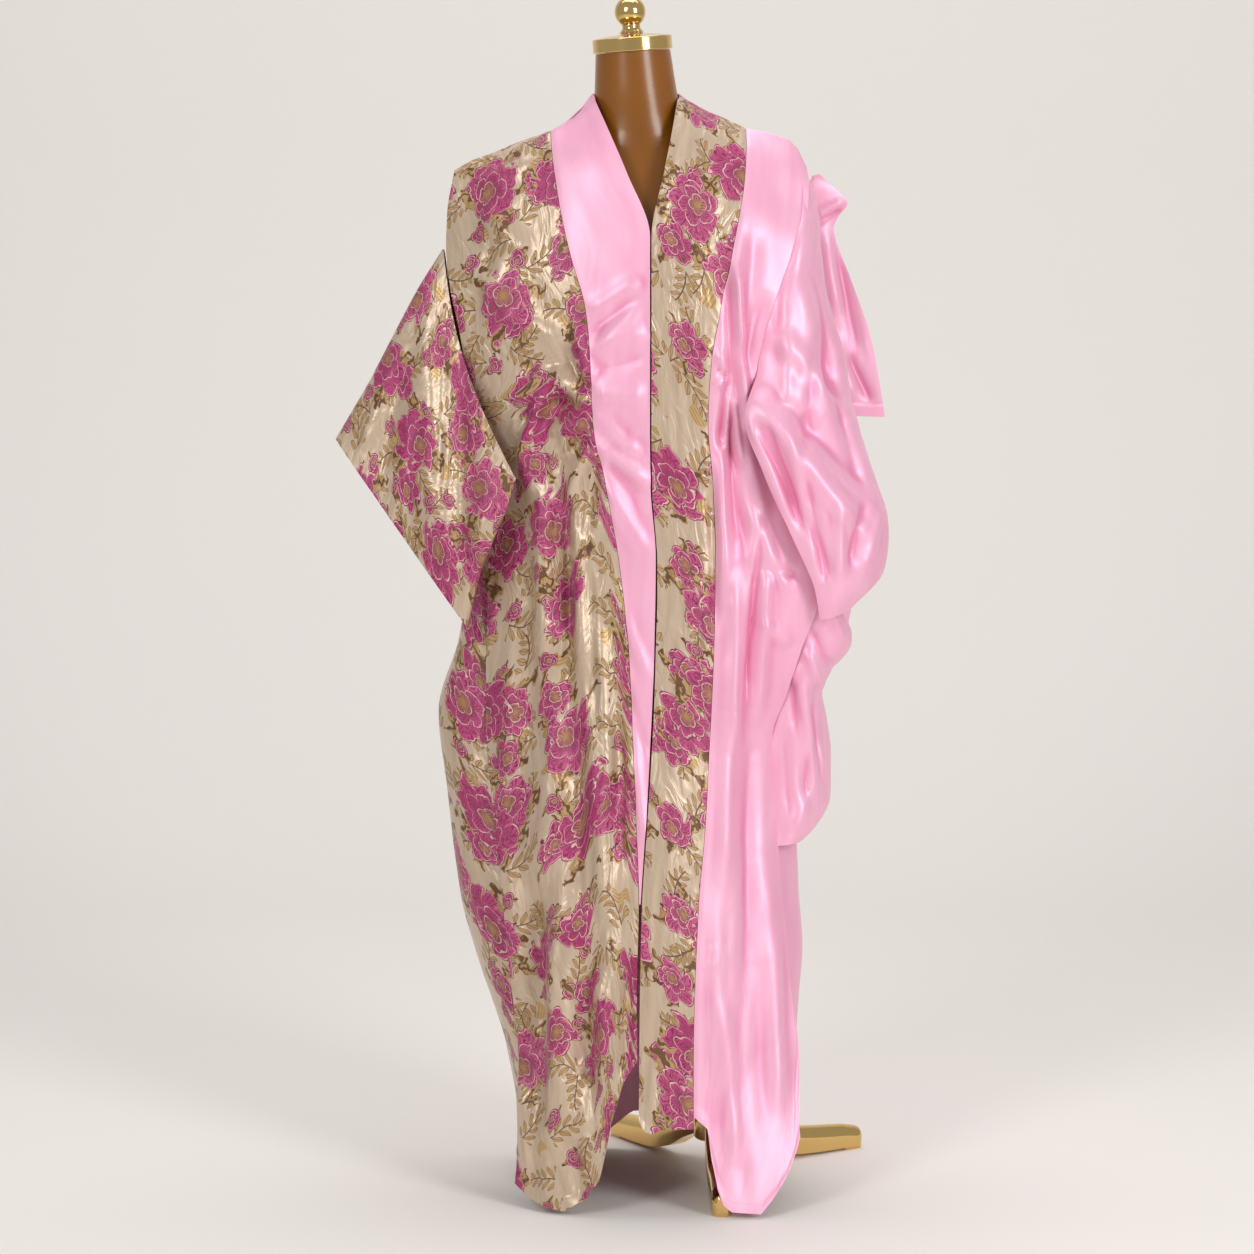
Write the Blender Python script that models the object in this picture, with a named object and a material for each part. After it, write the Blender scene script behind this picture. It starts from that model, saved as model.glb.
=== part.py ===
"""Half brocade, half satin open gown draped on a limbless dress form with a three-legged stand.
Metres, +Z up, front towards -Y. Each cloth piece is a thin wall on a grid of points worked out from a short
table of rows. The tables measure from the garment's centre line at floor level, and an empty then moves
everything so that the origin lies on the floor under the middle of the whole part."""

import math

import bpy
import numpy as np
from mathutils import Matrix, Vector

# Driving sizes
WALL = 0.0018
SEAM = 0.0004
CLEAR_OF_FORM = 0.0015
LEVELS_FRONT = 34
LEVELS_BACK = 24
HEM_EASE_LEVEL = 0.45
POLE_FOOT_X = 0.088
POLE_LEAN = -0.0715

# The stand
LEG_LENGTH = 0.258
LEG_TURNS = (("leg_front", -88.0), ("leg_right", 34.0), ("leg_left", 122.0))
HUB_RADIUS = 0.026
HUB_TOP = 0.110
HUB_BOTTOM = 0.046
COLUMN_RADIUS = 0.0125
FORM_BOTTOM = 0.740
FORM_TOP = 1.5655
CAP_RADIUS = 0.0545
CAP_HEIGHT = 0.0185
BALL_RADIUS = 0.0212
BALL_CENTRE = 0.0297
CAP_GAP = 0.0006
NECK_TILT_FROM = 1.500

# Dress form sections: level, half width, half depth, shift towards the back
FORM_SECTIONS = (
    (0.740, 0.118, 0.088, 0.000),
    (0.790, 0.134, 0.098, 0.002),
    (0.860, 0.138, 0.101, 0.003),
    (0.950, 0.124, 0.092, 0.000),
    (1.050, 0.110, 0.086, 0.000),
    (1.150, 0.122, 0.096, 0.000),
    (1.250, 0.142, 0.106, 0.000),
    (1.320, 0.156, 0.100, 0.002),
    (1.380, 0.150, 0.080, 0.003),
    (1.415, 0.122, 0.066, 0.002),
    (1.440, 0.084, 0.055, 0.000),
    (1.460, 0.066, 0.052, 0.000),
    (1.482, 0.060, 0.0515, 0.000),
    (1.510, 0.0565, 0.052, 0.000),
    (1.5655, 0.0510, 0.050, 0.000),
)

# Shoulder line of the fronts, and of the backs: place across, level
FRONT_RIDGE = (
    (-0.270, 1.403),
    (-0.243, 1.418),
    (-0.209, 1.430),
    (-0.165, 1.447),
    (-0.136, 1.456),
    (-0.107, 1.471),
    (-0.092, 1.489),
    (-0.077, 1.509),
    (0.038, 1.505),
    (0.080, 1.483),
    (0.131, 1.461),
    (0.157, 1.455),
    (0.189, 1.445),
    (0.201, 1.433),
    (0.216, 1.404),
)
BACK_RIDGE = (
    (-0.270, 1.403),
    (-0.243, 1.418),
    (-0.209, 1.430),
    (-0.165, 1.447),
    (-0.136, 1.456),
    (-0.020, 1.450),
    (0.131, 1.461),
    (0.157, 1.455),
    (0.189, 1.445),
    (0.201, 1.433),
    (0.216, 1.404),
)

# Fronts, from the shoulder down. Columns: level at the centre edge, its place across and its depth,
# place across of the band's seam, then the outer edge's place across, depth and level
FRONT_COLUMNS = ("in_z", "in_x", "in_y", "seam_x", "out_x", "out_y", "out_z")
RIGHT_FRONT = (
    (1.509, -0.077, -0.001, -0.136, -0.268, -0.001, 1.404),
    (1.500, -0.075, -0.030, -0.136, -0.272, -0.007, 1.385),
    (1.462, -0.058, -0.068, -0.133, -0.278, -0.011, 1.345),
    (1.400, -0.031, -0.098, -0.124, -0.279, -0.022, 1.300),
    (1.318, -0.001, -0.120, -0.107, -0.272, -0.050, 1.240),
    (1.240, -0.001, -0.130, -0.088, -0.260, -0.056, 1.180),
    (1.160, -0.001, -0.135, -0.081, -0.250, -0.058, 1.125),
    (1.070, -0.001, -0.132, -0.078, -0.236, -0.058, 1.055),
    (0.980, 0.000, -0.133, -0.060, -0.226, -0.055, 0.975),
    (0.880, 0.007, -0.140, -0.043, -0.222, -0.055, 0.880),
    (0.760, 0.005, -0.152, -0.030, -0.225, -0.060, 0.760),
    (0.640, 0.000, -0.170, -0.024, -0.226, -0.075, 0.640),
    (0.520, -0.007, -0.192, -0.019, -0.214, -0.105, 0.520),
    (0.410, -0.014, -0.208, -0.016, -0.202, -0.132, 0.410),
    (0.300, -0.018, -0.222, -0.0185, -0.190, -0.152, 0.300),
    (0.200, -0.017, -0.236, -0.0175, -0.180, -0.172, 0.200),
    (0.100, -0.017, -0.256, -0.0175, -0.180, -0.190, 0.100),
    (0.000, -0.017, -0.272, -0.0175, -0.187, -0.203, 0.000),
)
LEFT_FRONT = (
    (1.505, 0.038, -0.001, 0.131, 0.214, -0.001, 1.404),
    (1.496, 0.036, -0.030, 0.131, 0.216, -0.024, 1.385),
    (1.458, 0.029, -0.068, 0.128, 0.213, -0.045, 1.345),
    (1.400, 0.017, -0.098, 0.121, 0.204, -0.072, 1.312),
    (1.318, 0.001, -0.120, 0.107, 0.186, -0.092, 1.262),
    (1.240, 0.001, -0.130, 0.095, 0.170, -0.104, 1.209),
    (1.160, 0.001, -0.135, 0.082, 0.150, -0.112, 1.140),
    (1.070, 0.001, -0.132, 0.078, 0.150, -0.105, 1.060),
    (0.980, 0.002, -0.133, 0.085, 0.172, -0.090, 0.975),
    (0.880, 0.009, -0.140, 0.088, 0.168, -0.080, 0.880),
    (0.760, 0.007, -0.152, 0.086, 0.147, -0.085, 0.760),
    (0.640, 0.002, -0.170, 0.080, 0.158, -0.095, 0.640),
    (0.520, -0.005, -0.192, 0.074, 0.172, -0.110, 0.520),
    (0.410, -0.012, -0.208, 0.065, 0.181, -0.130, 0.410),
    (0.300, -0.0145, -0.224, 0.060, 0.191, -0.150, 0.300),
    (0.200, -0.0155, -0.235, 0.058, 0.202, -0.172, 0.200),
    (0.100, -0.016, -0.256, 0.058, 0.203, -0.212, 0.100),
    (0.000, -0.016, -0.280, 0.060, 0.175, -0.266, 0.000),
)

# Hems: share of the way across from the centre edge, level
BROCADE_FRONT_HEM = (
    (0.00, 0.209),
    (0.12, 0.180),
    (0.22, 0.125),
    (0.26, 0.090),
    (0.31, 0.052),
    (0.42, 0.025),
    (0.58, 0.006),
    (0.75, 0.008),
    (0.88, 0.018),
    (1.00, 0.032),
)
SATIN_BAND_HEM = ((0.00, 0.420), (1.00, 0.420))
BROCADE_BAND_HEM = ((0.00, 0.130), (0.10, 0.116), (0.25, 0.113), (0.40, 0.119), (1.00, 0.119))
SATIN_FRONT_HEM = (
    (0.00, 0.135),
    (0.13, 0.118),
    (0.16, 0.081),
    (0.24, 0.039),
    (0.32, 0.018),
    (0.42, 0.010),
    (0.76, 0.006),
    (0.86, 0.025),
    (0.92, 0.045),
    (1.00, 0.100),
)

# Backs, from the shoulder down, as curves in plan with four handles each. Columns: level at the outer edge and
# at the centre back, then each handle's place across and depth
BACK_COLUMNS = ("out_z", "in_z", "x0", "y0", "x1", "y1", "x2", "y2", "x3", "y3")
BROCADE_BACK = (
    (1.404, 1.450, -0.268, 0.001, -0.160, 0.001, -0.100, 0.000, -0.020, 0.085),
    (1.388, 1.438, -0.272, 0.008, -0.190, 0.022, -0.100, 0.055, -0.020, 0.100),
    (1.350, 1.400, -0.2775, 0.012, -0.215, 0.050, -0.110, 0.100, -0.021, 0.118),
    (1.300, 1.330, -0.2803, 0.022, -0.225, 0.080, -0.110, 0.125, -0.022, 0.130),
    (1.180, 1.200, -0.2786, 0.032, -0.240, 0.100, -0.120, 0.135, -0.024, 0.135),
    (1.080, 1.080, -0.262, 0.000, -0.265, 0.080, -0.130, 0.130, -0.027, 0.125),
    (0.980, 0.980, -0.212, -0.048, -0.266, -0.040, -0.272, 0.115, -0.030, 0.120),
    (0.880, 0.880, -0.208, -0.048, -0.275, -0.043, -0.278, 0.115, -0.033, 0.122),
    (0.760, 0.760, -0.210, -0.053, -0.300, -0.053, -0.300, 0.120, -0.038, 0.126),
    (0.656, 0.656, -0.212, -0.066, -0.346, -0.065, -0.334, 0.122, -0.043, 0.128),
    (0.540, 0.540, -0.202, -0.094, -0.328, -0.080, -0.320, 0.122, -0.050, 0.130),
    (0.404, 0.404, -0.188, -0.126, -0.305, -0.105, -0.302, 0.122, -0.058, 0.132),
    (0.316, 0.316, -0.178, -0.142, -0.272, -0.120, -0.276, 0.120, -0.064, 0.132),
    (0.196, 0.196, -0.167, -0.166, -0.216, -0.130, -0.226, 0.115, -0.070, 0.130),
    (0.100, 0.100, -0.166, -0.182, -0.195, -0.130, -0.206, 0.112, -0.074, 0.128),
    (0.000, 0.000, -0.170, -0.194, -0.195, -0.130, -0.206, 0.112, -0.076, 0.128),
)
SATIN_BACK = (
    (1.404, 1.450, 0.214, 0.001, 0.150, 0.001, 0.100, 0.000, -0.0188, 0.085),
    (1.388, 1.438, 0.216, 0.024, 0.170, 0.030, 0.090, 0.055, -0.0188, 0.100),
    (1.350, 1.400, 0.220, 0.040, 0.170, 0.060, 0.090, 0.100, -0.0202, 0.118),
    (1.300, 1.330, 0.220, 0.050, 0.170, 0.090, 0.090, 0.125, -0.0212, 0.130),
    (1.180, 1.200, 0.212, 0.045, 0.190, 0.110, 0.100, 0.135, -0.0232, 0.135),
    (1.080, 1.080, 0.200, 0.015, 0.220, 0.100, 0.110, 0.130, -0.0262, 0.125),
    (0.980, 0.980, 0.158, -0.084, 0.270, -0.055, 0.262, 0.115, -0.0292, 0.120),
    (0.880, 0.880, 0.154, -0.074, 0.275, -0.050, 0.265, 0.115, -0.0322, 0.122),
    (0.760, 0.760, 0.134, -0.079, 0.262, -0.062, 0.255, 0.118, -0.0372, 0.126),
    (0.656, 0.656, 0.144, -0.087, 0.236, -0.070, 0.238, 0.120, -0.0422, 0.128),
    (0.540, 0.540, 0.156, -0.100, 0.234, -0.086, 0.234, 0.122, -0.0492, 0.130),
    (0.420, 0.420, 0.166, -0.121, 0.236, -0.102, 0.236, 0.124, -0.0562, 0.132),
    (0.345, 0.345, 0.171, -0.134, 0.243, -0.114, 0.243, 0.124, -0.0612, 0.132),
    (0.250, 0.250, 0.180, -0.154, 0.228, -0.128, 0.230, 0.120, -0.0662, 0.130),
    (0.120, 0.120, 0.187, -0.196, 0.210, -0.140, 0.214, 0.116, -0.0722, 0.128),
    (0.000, 0.000, 0.187, -0.204, 0.210, -0.140, 0.214, 0.116, -0.0752, 0.128),
)
BROCADE_BACK_HEM = ((0.00, 0.105), (0.20, 0.060), (0.45, 0.030), (0.70, 0.016), (1.00, 0.012))
SATIN_BACK_HEM = (
    (0.00, 0.130),
    (0.20, 0.085),
    (0.45, 0.082),
    (0.72, 0.086),
    (0.80, 0.066),
    (0.94, 0.056),
    (1.00, 0.014),
)

# The brocade sleeve, from armhole to cuff. Columns: the top fold's place across and level, the lower fold's
# place across and level, how far the ring bows outwards and how much more its back layer does, depth before
# and behind its middle, the depth of the top fold and of the lower fold
SLEEVE_COLUMNS = ("top_x", "top_z", "low_x", "low_z", "bow", "back_bow", "before", "behind", "top_y", "low_y")
BROCADE_SLEEVE = (
    (-0.2835, 1.297, -0.183, 0.992, -0.020, -0.045, 0.022, 0.072, -0.020, -0.130),
    (-0.318, 1.243, -0.196, 0.950, -0.020, -0.038, 0.030, 0.066, -0.016, -0.128),
    (-0.352, 1.180, -0.215, 0.905, -0.014, -0.024, 0.038, 0.056, -0.014, -0.122),
    (-0.388, 1.112, -0.233, 0.858, -0.008, -0.010, 0.044, 0.046, -0.012, -0.110),
    (-0.433, 1.036, -0.251, 0.786, 0.000, 0.000, 0.040, 0.040, -0.014, -0.094),
)
SLEEVE_AROUND = 22
SLEEVE_LEVELS = 12

# Draped satin pieces as curves in plan with four handles each. Columns: level at the inner edge and at the
# far side, then each handle's place across and depth
DRAPE_COLUMNS = ("in_z", "out_z", "x0", "y0", "x1", "y1", "x2", "y2", "x3", "y3")
SATIN_DRAPE = (
    (1.384, 1.392, 0.2177, -0.026, 0.2215, -0.012, 0.2230, 0.004, 0.2215, 0.026),
    (1.345, 1.355, 0.2155, -0.047, 0.2240, -0.050, 0.2340, -0.008, 0.2235, 0.031),
    (1.311, 1.317, 0.2065, -0.073, 0.2240, -0.080, 0.2430, -0.018, 0.2265, 0.034),
    (1.209, 1.222, 0.1725, -0.105, 0.2200, -0.135, 0.2760, -0.050, 0.2330, 0.036),
    (1.140, 1.145, 0.1530, -0.118, 0.2100, -0.160, 0.3050, -0.060, 0.2460, 0.034),
    (1.075, 1.075, 0.1270, -0.150, 0.2050, -0.185, 0.3250, -0.072, 0.2580, 0.026),
    (0.998, 1.000, 0.1530, -0.155, 0.2300, -0.190, 0.3560, -0.082, 0.2780, 0.014),
    (0.921, 0.925, 0.1880, -0.155, 0.2560, -0.185, 0.3800, -0.090, 0.3000, 0.000),
    (0.841, 0.868, 0.2230, -0.150, 0.2700, -0.175, 0.3560, -0.090, 0.3020, -0.010),
    (0.800, 0.824, 0.2300, -0.142, 0.2500, -0.155, 0.3000, -0.100, 0.2760, -0.020),
)
SATIN_FALL = (
    (0.816, 0.842, 0.2180, -0.122, 0.2420, -0.142, 0.2900, -0.090, 0.2700, -0.018),
    (0.761, 0.761, 0.2130, -0.116, 0.2500, -0.150, 0.3080, -0.070, 0.2600, -0.010),
    (0.732, 0.725, 0.2040, -0.116, 0.2400, -0.150, 0.2780, -0.070, 0.2450, 0.000),
    (0.690, 0.694, 0.1880, -0.114, 0.2250, -0.140, 0.2520, -0.060, 0.2300, 0.010),
    (0.655, 0.645, 0.1750, -0.110, 0.2150, -0.140, 0.2660, -0.060, 0.2350, 0.020),
    (0.600, 0.590, 0.1633, -0.1025, 0.2150, -0.145, 0.2800, -0.060, 0.2350, 0.030),
    (0.545, 0.540, 0.1715, -0.112, 0.2150, -0.145, 0.2800, -0.060, 0.2350, 0.030),
    (0.505, 0.507, 0.1790, -0.122, 0.2100, -0.140, 0.2500, -0.070, 0.2250, 0.010),
    (0.484, 0.492, 0.1810, -0.126, 0.1950, -0.135, 0.2200, -0.090, 0.2150, -0.020),
)
SATIN_SLEEVE = (
    (1.396, 1.398, 0.2240, 0.034, 0.2260, 0.036, 0.2290, 0.036, 0.2330, 0.034),
    (1.372, 1.372, 0.2212, 0.038, 0.2350, 0.040, 0.2500, 0.038, 0.2620, 0.030),
    (1.357, 1.357, 0.2207, 0.040, 0.2400, 0.042, 0.2560, 0.038, 0.2730, 0.028),
    (1.322, 1.322, 0.2209, 0.044, 0.2350, 0.046, 0.2450, 0.042, 0.2540, 0.032),
    (1.253, 1.253, 0.2280, 0.052, 0.2450, 0.052, 0.2620, 0.046, 0.2790, 0.030),
    (1.173, 1.173, 0.2380, 0.055, 0.2620, 0.056, 0.2860, 0.048, 0.3070, 0.030),
    (1.100, 1.098, 0.2480, 0.055, 0.2780, 0.056, 0.3020, 0.048, 0.3220, 0.030),
    (1.063, 1.060, 0.2540, 0.055, 0.2840, 0.056, 0.3080, 0.048, 0.3280, 0.030),
)

# Folds, each a soft ridge, or a trough where its height is below zero. Columns: place across and level of one
# end, the same of the other, half width, height
FOLD_COLUMNS = ("x0", "z0", "x1", "z1", "width", "height")
BROCADE_FRONT_FOLDS = (
    (-0.092, 1.120, -0.150, 1.060, 0.012, -0.010),
    (-0.092, 1.100, -0.120, 1.010, 0.011, 0.008),
    (-0.100, 1.150, -0.185, 1.140, 0.012, -0.008),
    (-0.110, 1.175, -0.190, 1.210, 0.014, 0.007),
    (-0.175, 1.080, -0.160, 0.960, 0.014, 0.010),
    (-0.145, 1.000, -0.150, 0.700, 0.016, 0.008),
    (-0.115, 0.980, -0.110, 0.560, 0.014, -0.007),
    (-0.080, 0.900, -0.075, 0.480, 0.014, 0.007),
    (-0.185, 0.820, -0.178, 0.360, 0.014, -0.008),
    (-0.105, 0.520, -0.120, 0.060, 0.018, 0.010),
    (-0.155, 0.480, -0.150, 0.080, 0.015, -0.008),
    (-0.052, 0.420, -0.060, 0.150, 0.012, 0.010),
    (-0.030, 0.360, -0.032, 0.180, 0.010, -0.008),
    (-0.200, 1.360, -0.215, 1.200, 0.020, 0.005),
)
SATIN_BAND_FOLDS = (
    (-0.070, 1.172, -0.012, 1.230, 0.012, 0.005),
    (-0.078, 1.080, -0.010, 1.020, 0.010, 0.006),
    (-0.070, 1.040, -0.006, 0.960, 0.010, -0.005),
)
SATIN_FRONT_FOLDS = (
    (0.100, 1.110, 0.120, 1.330, 0.014, 0.008),
    (0.105, 1.090, 0.160, 1.250, 0.013, -0.007),
    (0.100, 1.080, 0.118, 0.900, 0.012, -0.008),
    (0.110, 1.030, 0.150, 0.850, 0.013, 0.008),
    (0.108, 0.760, 0.100, 0.420, 0.013, 0.006),
    (0.135, 0.640, 0.125, 0.240, 0.013, -0.006),
    (0.160, 0.480, 0.170, 0.120, 0.013, 0.006),
    (0.096, 0.300, 0.120, 0.060, 0.012, 0.006),
)
DRAPE_FOLDS = (
    (0.130, 1.110, 0.300, 0.900, 0.014, 0.010),
    (0.150, 1.130, 0.320, 0.960, 0.014, -0.010),
    (0.165, 1.200, 0.300, 1.030, 0.014, 0.009),
    (0.200, 1.300, 0.270, 1.080, 0.013, -0.008),
    (0.140, 1.060, 0.250, 0.850, 0.012, -0.010),
    (0.225, 1.340, 0.290, 1.060, 0.012, 0.007),
)
FALL_FOLDS = (
    (0.200, 0.740, 0.240, 0.560, 0.011, 0.007),
    (0.225, 0.700, 0.215, 0.520, 0.010, -0.007),
)
BACK_FOLDS = (
    (-0.225, 0.940, -0.230, 0.280, 0.021, -0.012),
    (-0.150, 1.180, -0.160, 0.090, 0.021, 0.013),
    (-0.090, 1.200, -0.095, 0.070, 0.021, -0.012),
    (0.045, 1.200, 0.052, 0.090, 0.021, 0.013),
    (0.110, 1.170, 0.115, 0.090, 0.019, -0.012),
    (0.165, 0.980, 0.170, 0.120, 0.017, 0.010),
)
SLEEVE_FOLDS = (
    (-0.300, 1.200, -0.300, 0.880, 0.016, 0.009),
    (-0.260, 1.120, -0.260, 0.860, 0.013, -0.009),
    (-0.340, 1.150, -0.370, 0.980, 0.015, -0.008),
)

SATIN = ("satin", (0.87, 0.46, 0.62, 1.0), 0.0, 0.32)
BROCADE = ("brocade", (0.58, 0.43, 0.30, 1.0), 0.0, 0.45)
FORM_SKIN = ("form_skin", (0.27, 0.085, 0.018, 1.0), 0.0, 0.25)
GOLD = ("gold", (0.78, 0.53, 0.18, 1.0), 1.0, 0.18)


def clear_scene():
    for item in list(bpy.data.objects):
        bpy.data.objects.remove(item, do_unlink=True)


def material(finish):
    """A plain material of this name, colour, metallic value and roughness."""
    name, colour, metallic, roughness = finish
    made = bpy.data.materials.get(name) or bpy.data.materials.new(name)
    made.use_nodes = True
    shader = made.node_tree.nodes["Principled BSDF"]
    shader.inputs["Base Color"].default_value = colour
    shader.inputs["Metallic"].default_value = metallic
    shader.inputs["Roughness"].default_value = roughness
    made.diffuse_color = colour
    return made


def add_mesh(name, points, faces, finish, parent):
    """An object from points and faces, turned to face outwards by the sign of its volume."""
    triangles = np.array([(f[0], f[i], f[i + 1]) for f in faces for i in range(1, len(f) - 1)])
    corners = points[triangles]
    volume = np.einsum("ij,ij->i", corners[:, 0], np.cross(corners[:, 1], corners[:, 2])).sum()
    if volume < 0:
        faces = [tuple(reversed(f)) for f in faces]
    mesh = bpy.data.meshes.new(name)
    mesh.from_pydata([tuple(p) for p in points], [], faces)
    mesh.materials.append(material(finish))
    mesh.validate()
    item = bpy.data.objects.new(name, mesh)
    bpy.context.scene.collection.objects.link(item)
    item.parent = parent
    mesh.shade_smooth()
    mesh.set_sharp_from_angle(angle=math.radians(50))
    return item


def smooth_columns(table, places):
    """Every column of the table at fractional row numbers, on a curve through its rows that never overshoots them."""
    rows = np.asarray(table, float)
    last = len(rows) - 1
    slopes = np.empty_like(rows)
    before, after = rows[1:-1] - rows[:-2], rows[2:] - rows[1:-1]
    both = before * after
    slopes[1:-1] = np.where(both > 0, 2 * both / np.where(both > 0, before + after, 1), 0)
    slopes[0] = rows[1] - rows[0]
    slopes[-1] = rows[-1] - rows[-2]
    places = np.clip(places, 0, last)
    lower = np.minimum(places.astype(int), last - 1)
    t = (places - lower)[..., None]
    start, end = rows[lower], rows[lower + 1]
    leave, arrive = slopes[lower], slopes[lower + 1]
    return (
        (2 * t**3 - 3 * t**2 + 1) * start
        + (t**3 - 2 * t**2 + t) * leave
        + (3 * t**2 - 2 * t**3) * end
        + (t**3 - t**2) * arrive
    )


def even_places(table, level_column, count):
    """Fractional row numbers that step down the table by even drops, with closer steps over the shoulder."""
    dense = np.linspace(0, len(table) - 1, 600)
    level = smooth_columns(table, dense)[:, level_column]
    step = np.maximum(np.abs(np.diff(level)), 0.008 * 600 / len(table) / 60)
    gone = np.concatenate([[0], np.cumsum(step)])
    return np.interp(np.linspace(0, gone[-1], count + 1), gone, dense)


def place_of_level(table, level_column, levels):
    """The fractional row number at which the table's level comes down to each given level."""
    dense = np.linspace(0, len(table) - 1, 1200)
    level = np.minimum.accumulate(smooth_columns(table, dense)[:, level_column])
    return np.interp(levels, level[::-1], dense[::-1])


def hemmed_places(table, level_column, count, hem_levels):
    """Row numbers for each level and column. Lower down they stretch so that the last one lies on the hem."""
    places = even_places(table, level_column, count)[:, None]
    ease = place_of_level(table, level_column, HEM_EASE_LEVEL)
    ends = place_of_level(table, level_column, hem_levels)[None, :]
    last = places[-1, 0]
    low = ease + (ends - ease) * (places - ease) / (last - ease)
    return np.where(places < np.minimum(ease, ends), places, low)


def form_half_sizes(levels):
    """Half width, half depth and shift of the dress form at these levels."""
    table = np.array(FORM_SECTIONS)
    return [np.interp(levels, table[:, 0], table[:, column]) for column in (1, 2, 3)]


def pole_x(levels):
    return POLE_FOOT_X + POLE_LEAN * levels


def clear_of_form(points):
    """The points, with any that come too near the dress form moved out from its axis."""
    moved = points.copy()
    wide, deep, shift = form_half_sizes(points[..., 2])
    x = points[..., 0] - pole_x(points[..., 2])
    y = points[..., 1] - shift
    share = np.sqrt((x / (wide + CLEAR_OF_FORM)) ** 2 + (y / (deep + CLEAR_OF_FORM)) ** 2)
    grow = np.where((share < 1) & (points[..., 2] > FORM_BOTTOM), 1 / np.maximum(share, 0.3), 1)
    moved[..., 0] += x * (grow - 1)
    moved[..., 1] += y * (grow - 1)
    return moved


def grid_normals(points, outward):
    """Unit normals of a grid, turned to the side on which the outward hint lies."""
    down = np.gradient(points, axis=0)
    across = np.gradient(points, axis=1)
    normals = np.cross(across, down)
    normals /= np.maximum(np.linalg.norm(normals, axis=2, keepdims=True), 1e-9)
    if np.einsum("ijk,ijk->", normals, outward) < 0:
        normals = -normals
    return normals


def away_from_pole(points):
    away = points.copy()
    away[..., 0] -= pole_x(points[..., 2])
    away[..., 2] = 0
    return away


def fold_heights(points, folds):
    """The height of all folds at each point: a bell across each fold line, fading to nothing at its ends."""
    height = np.zeros(points.shape[:2])
    for x0, z0, x1, z1, width, rise in folds:
        run = np.array([x1 - x0, z1 - z0])
        length = np.linalg.norm(run)
        offset = points[..., [0, 2]] - np.array([x0, z0])
        along = offset @ run / length**2
        side = np.abs(offset @ np.array([-run[1], run[0]])) / length
        past = np.maximum(np.abs(along - 0.5) - 0.5, 0) * length
        fade = np.clip(np.sin(np.pi * np.clip(along, 0.02, 0.98)) * 1.6, 0, 1)
        height += rise * fade * np.exp(-((side / width) ** 2) - (past / width) ** 2)
    return height


def folded(points, folds, facing=None):
    """The grid moved along its normals by its folds, only where it faces the given way if there is one."""
    normals = grid_normals(points, away_from_pole(points))
    height = fold_heights(points, folds)
    if facing is not None:
        height = height * np.clip(normals[..., 1] * facing * 2, 0, 1)
    return points + normals * height[..., None]


def wall(name, points, finish, parent, closed=False):
    """A closed wall on a grid of middle points, half its thickness out and half in. A closed grid is a tube."""
    if closed:
        turned = np.concatenate([points[:, -1:], points, points[:, :1]], axis=1)
        normals = grid_normals(turned, away_from_pole(turned))[:, 1:-1]
    else:
        normals = grid_normals(points, away_from_pole(points))
    levels, columns = points.shape[:2]
    outer = (points + normals * WALL / 2).reshape(-1, 3)
    inner = (points - normals * WALL / 2).reshape(-1, 3)
    both = np.concatenate([outer, inner])
    count = levels * columns
    faces = []
    spans = columns if closed else columns - 1
    for i in range(levels - 1):
        for j in range(spans):
            a, b = i * columns + j, i * columns + (j + 1) % columns
            c, d = b + columns, a + columns
            faces += [(a, b, c), (a, c, d)]
            faces += [(count + a, count + c, count + b), (count + a, count + d, count + c)]
    for i in (0, levels - 1):
        for j in range(spans):
            a, b = i * columns + j, i * columns + (j + 1) % columns
            rim = [(a, count + a, count + b), (a, count + b, b)]
            faces += rim if i == 0 else [tuple(reversed(f)) for f in rim]
    if not closed:
        for j in (0, columns - 1):
            for i in range(levels - 1):
                a, b = i * columns + j, (i + 1) * columns + j
                rim = [(a, b, count + b), (a, count + b, count + a)]
                faces += rim if j == 0 else [tuple(reversed(f)) for f in rim]
    return add_mesh(name, both, faces, finish, parent)


def front_grid(table, hem, columns, part, folds):
    """Points of a front, either its band or the panel outside it. Across each row the place moves evenly from the
    centre edge to the outer edge, and the depth falls back by a power of that share."""
    shares = np.linspace(0, 1, columns + 1)
    hem_levels = np.interp(shares, *zip(*hem))
    places = hemmed_places(table, 0, LEVELS_FRONT, hem_levels)
    row = dict(zip(FRONT_COLUMNS, np.moveaxis(smooth_columns(table, places), -1, 0)))
    width = row["out_x"] - row["in_x"]
    seam = (row["seam_x"] - row["in_x"]) / width
    gap = SEAM / np.abs(width)
    if part == "band":
        share = shares * (seam - gap)
    else:
        share = seam + gap + shares * (1 - seam - gap)
    x = row["in_x"] + share * width
    z = row["in_z"] + (row["out_z"] - row["in_z"]) * share
    y = row["in_y"] + (row["out_y"] - row["in_y"]) * share**2.2
    over = np.clip(1 - places / 2.6, 0, 1) ** 2
    top = np.interp(x[0], *zip(*FRONT_RIDGE))
    z = z + (top - z[0])[None, :] * over
    points = clear_of_form(np.stack([x, y, z], axis=-1))
    return folded(points, folds, facing=-1)


def bezier(handles, shares):
    """A curve with four handles, each an array over the rows, at shares over the columns."""
    u = shares[None, :]
    a, b, c, d = (h[:, None] if h.ndim == 1 else h for h in handles)
    return (1 - u) ** 3 * a + 3 * (1 - u) ** 2 * u * b + 3 * (1 - u) * u**2 * c + u**3 * d


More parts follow.
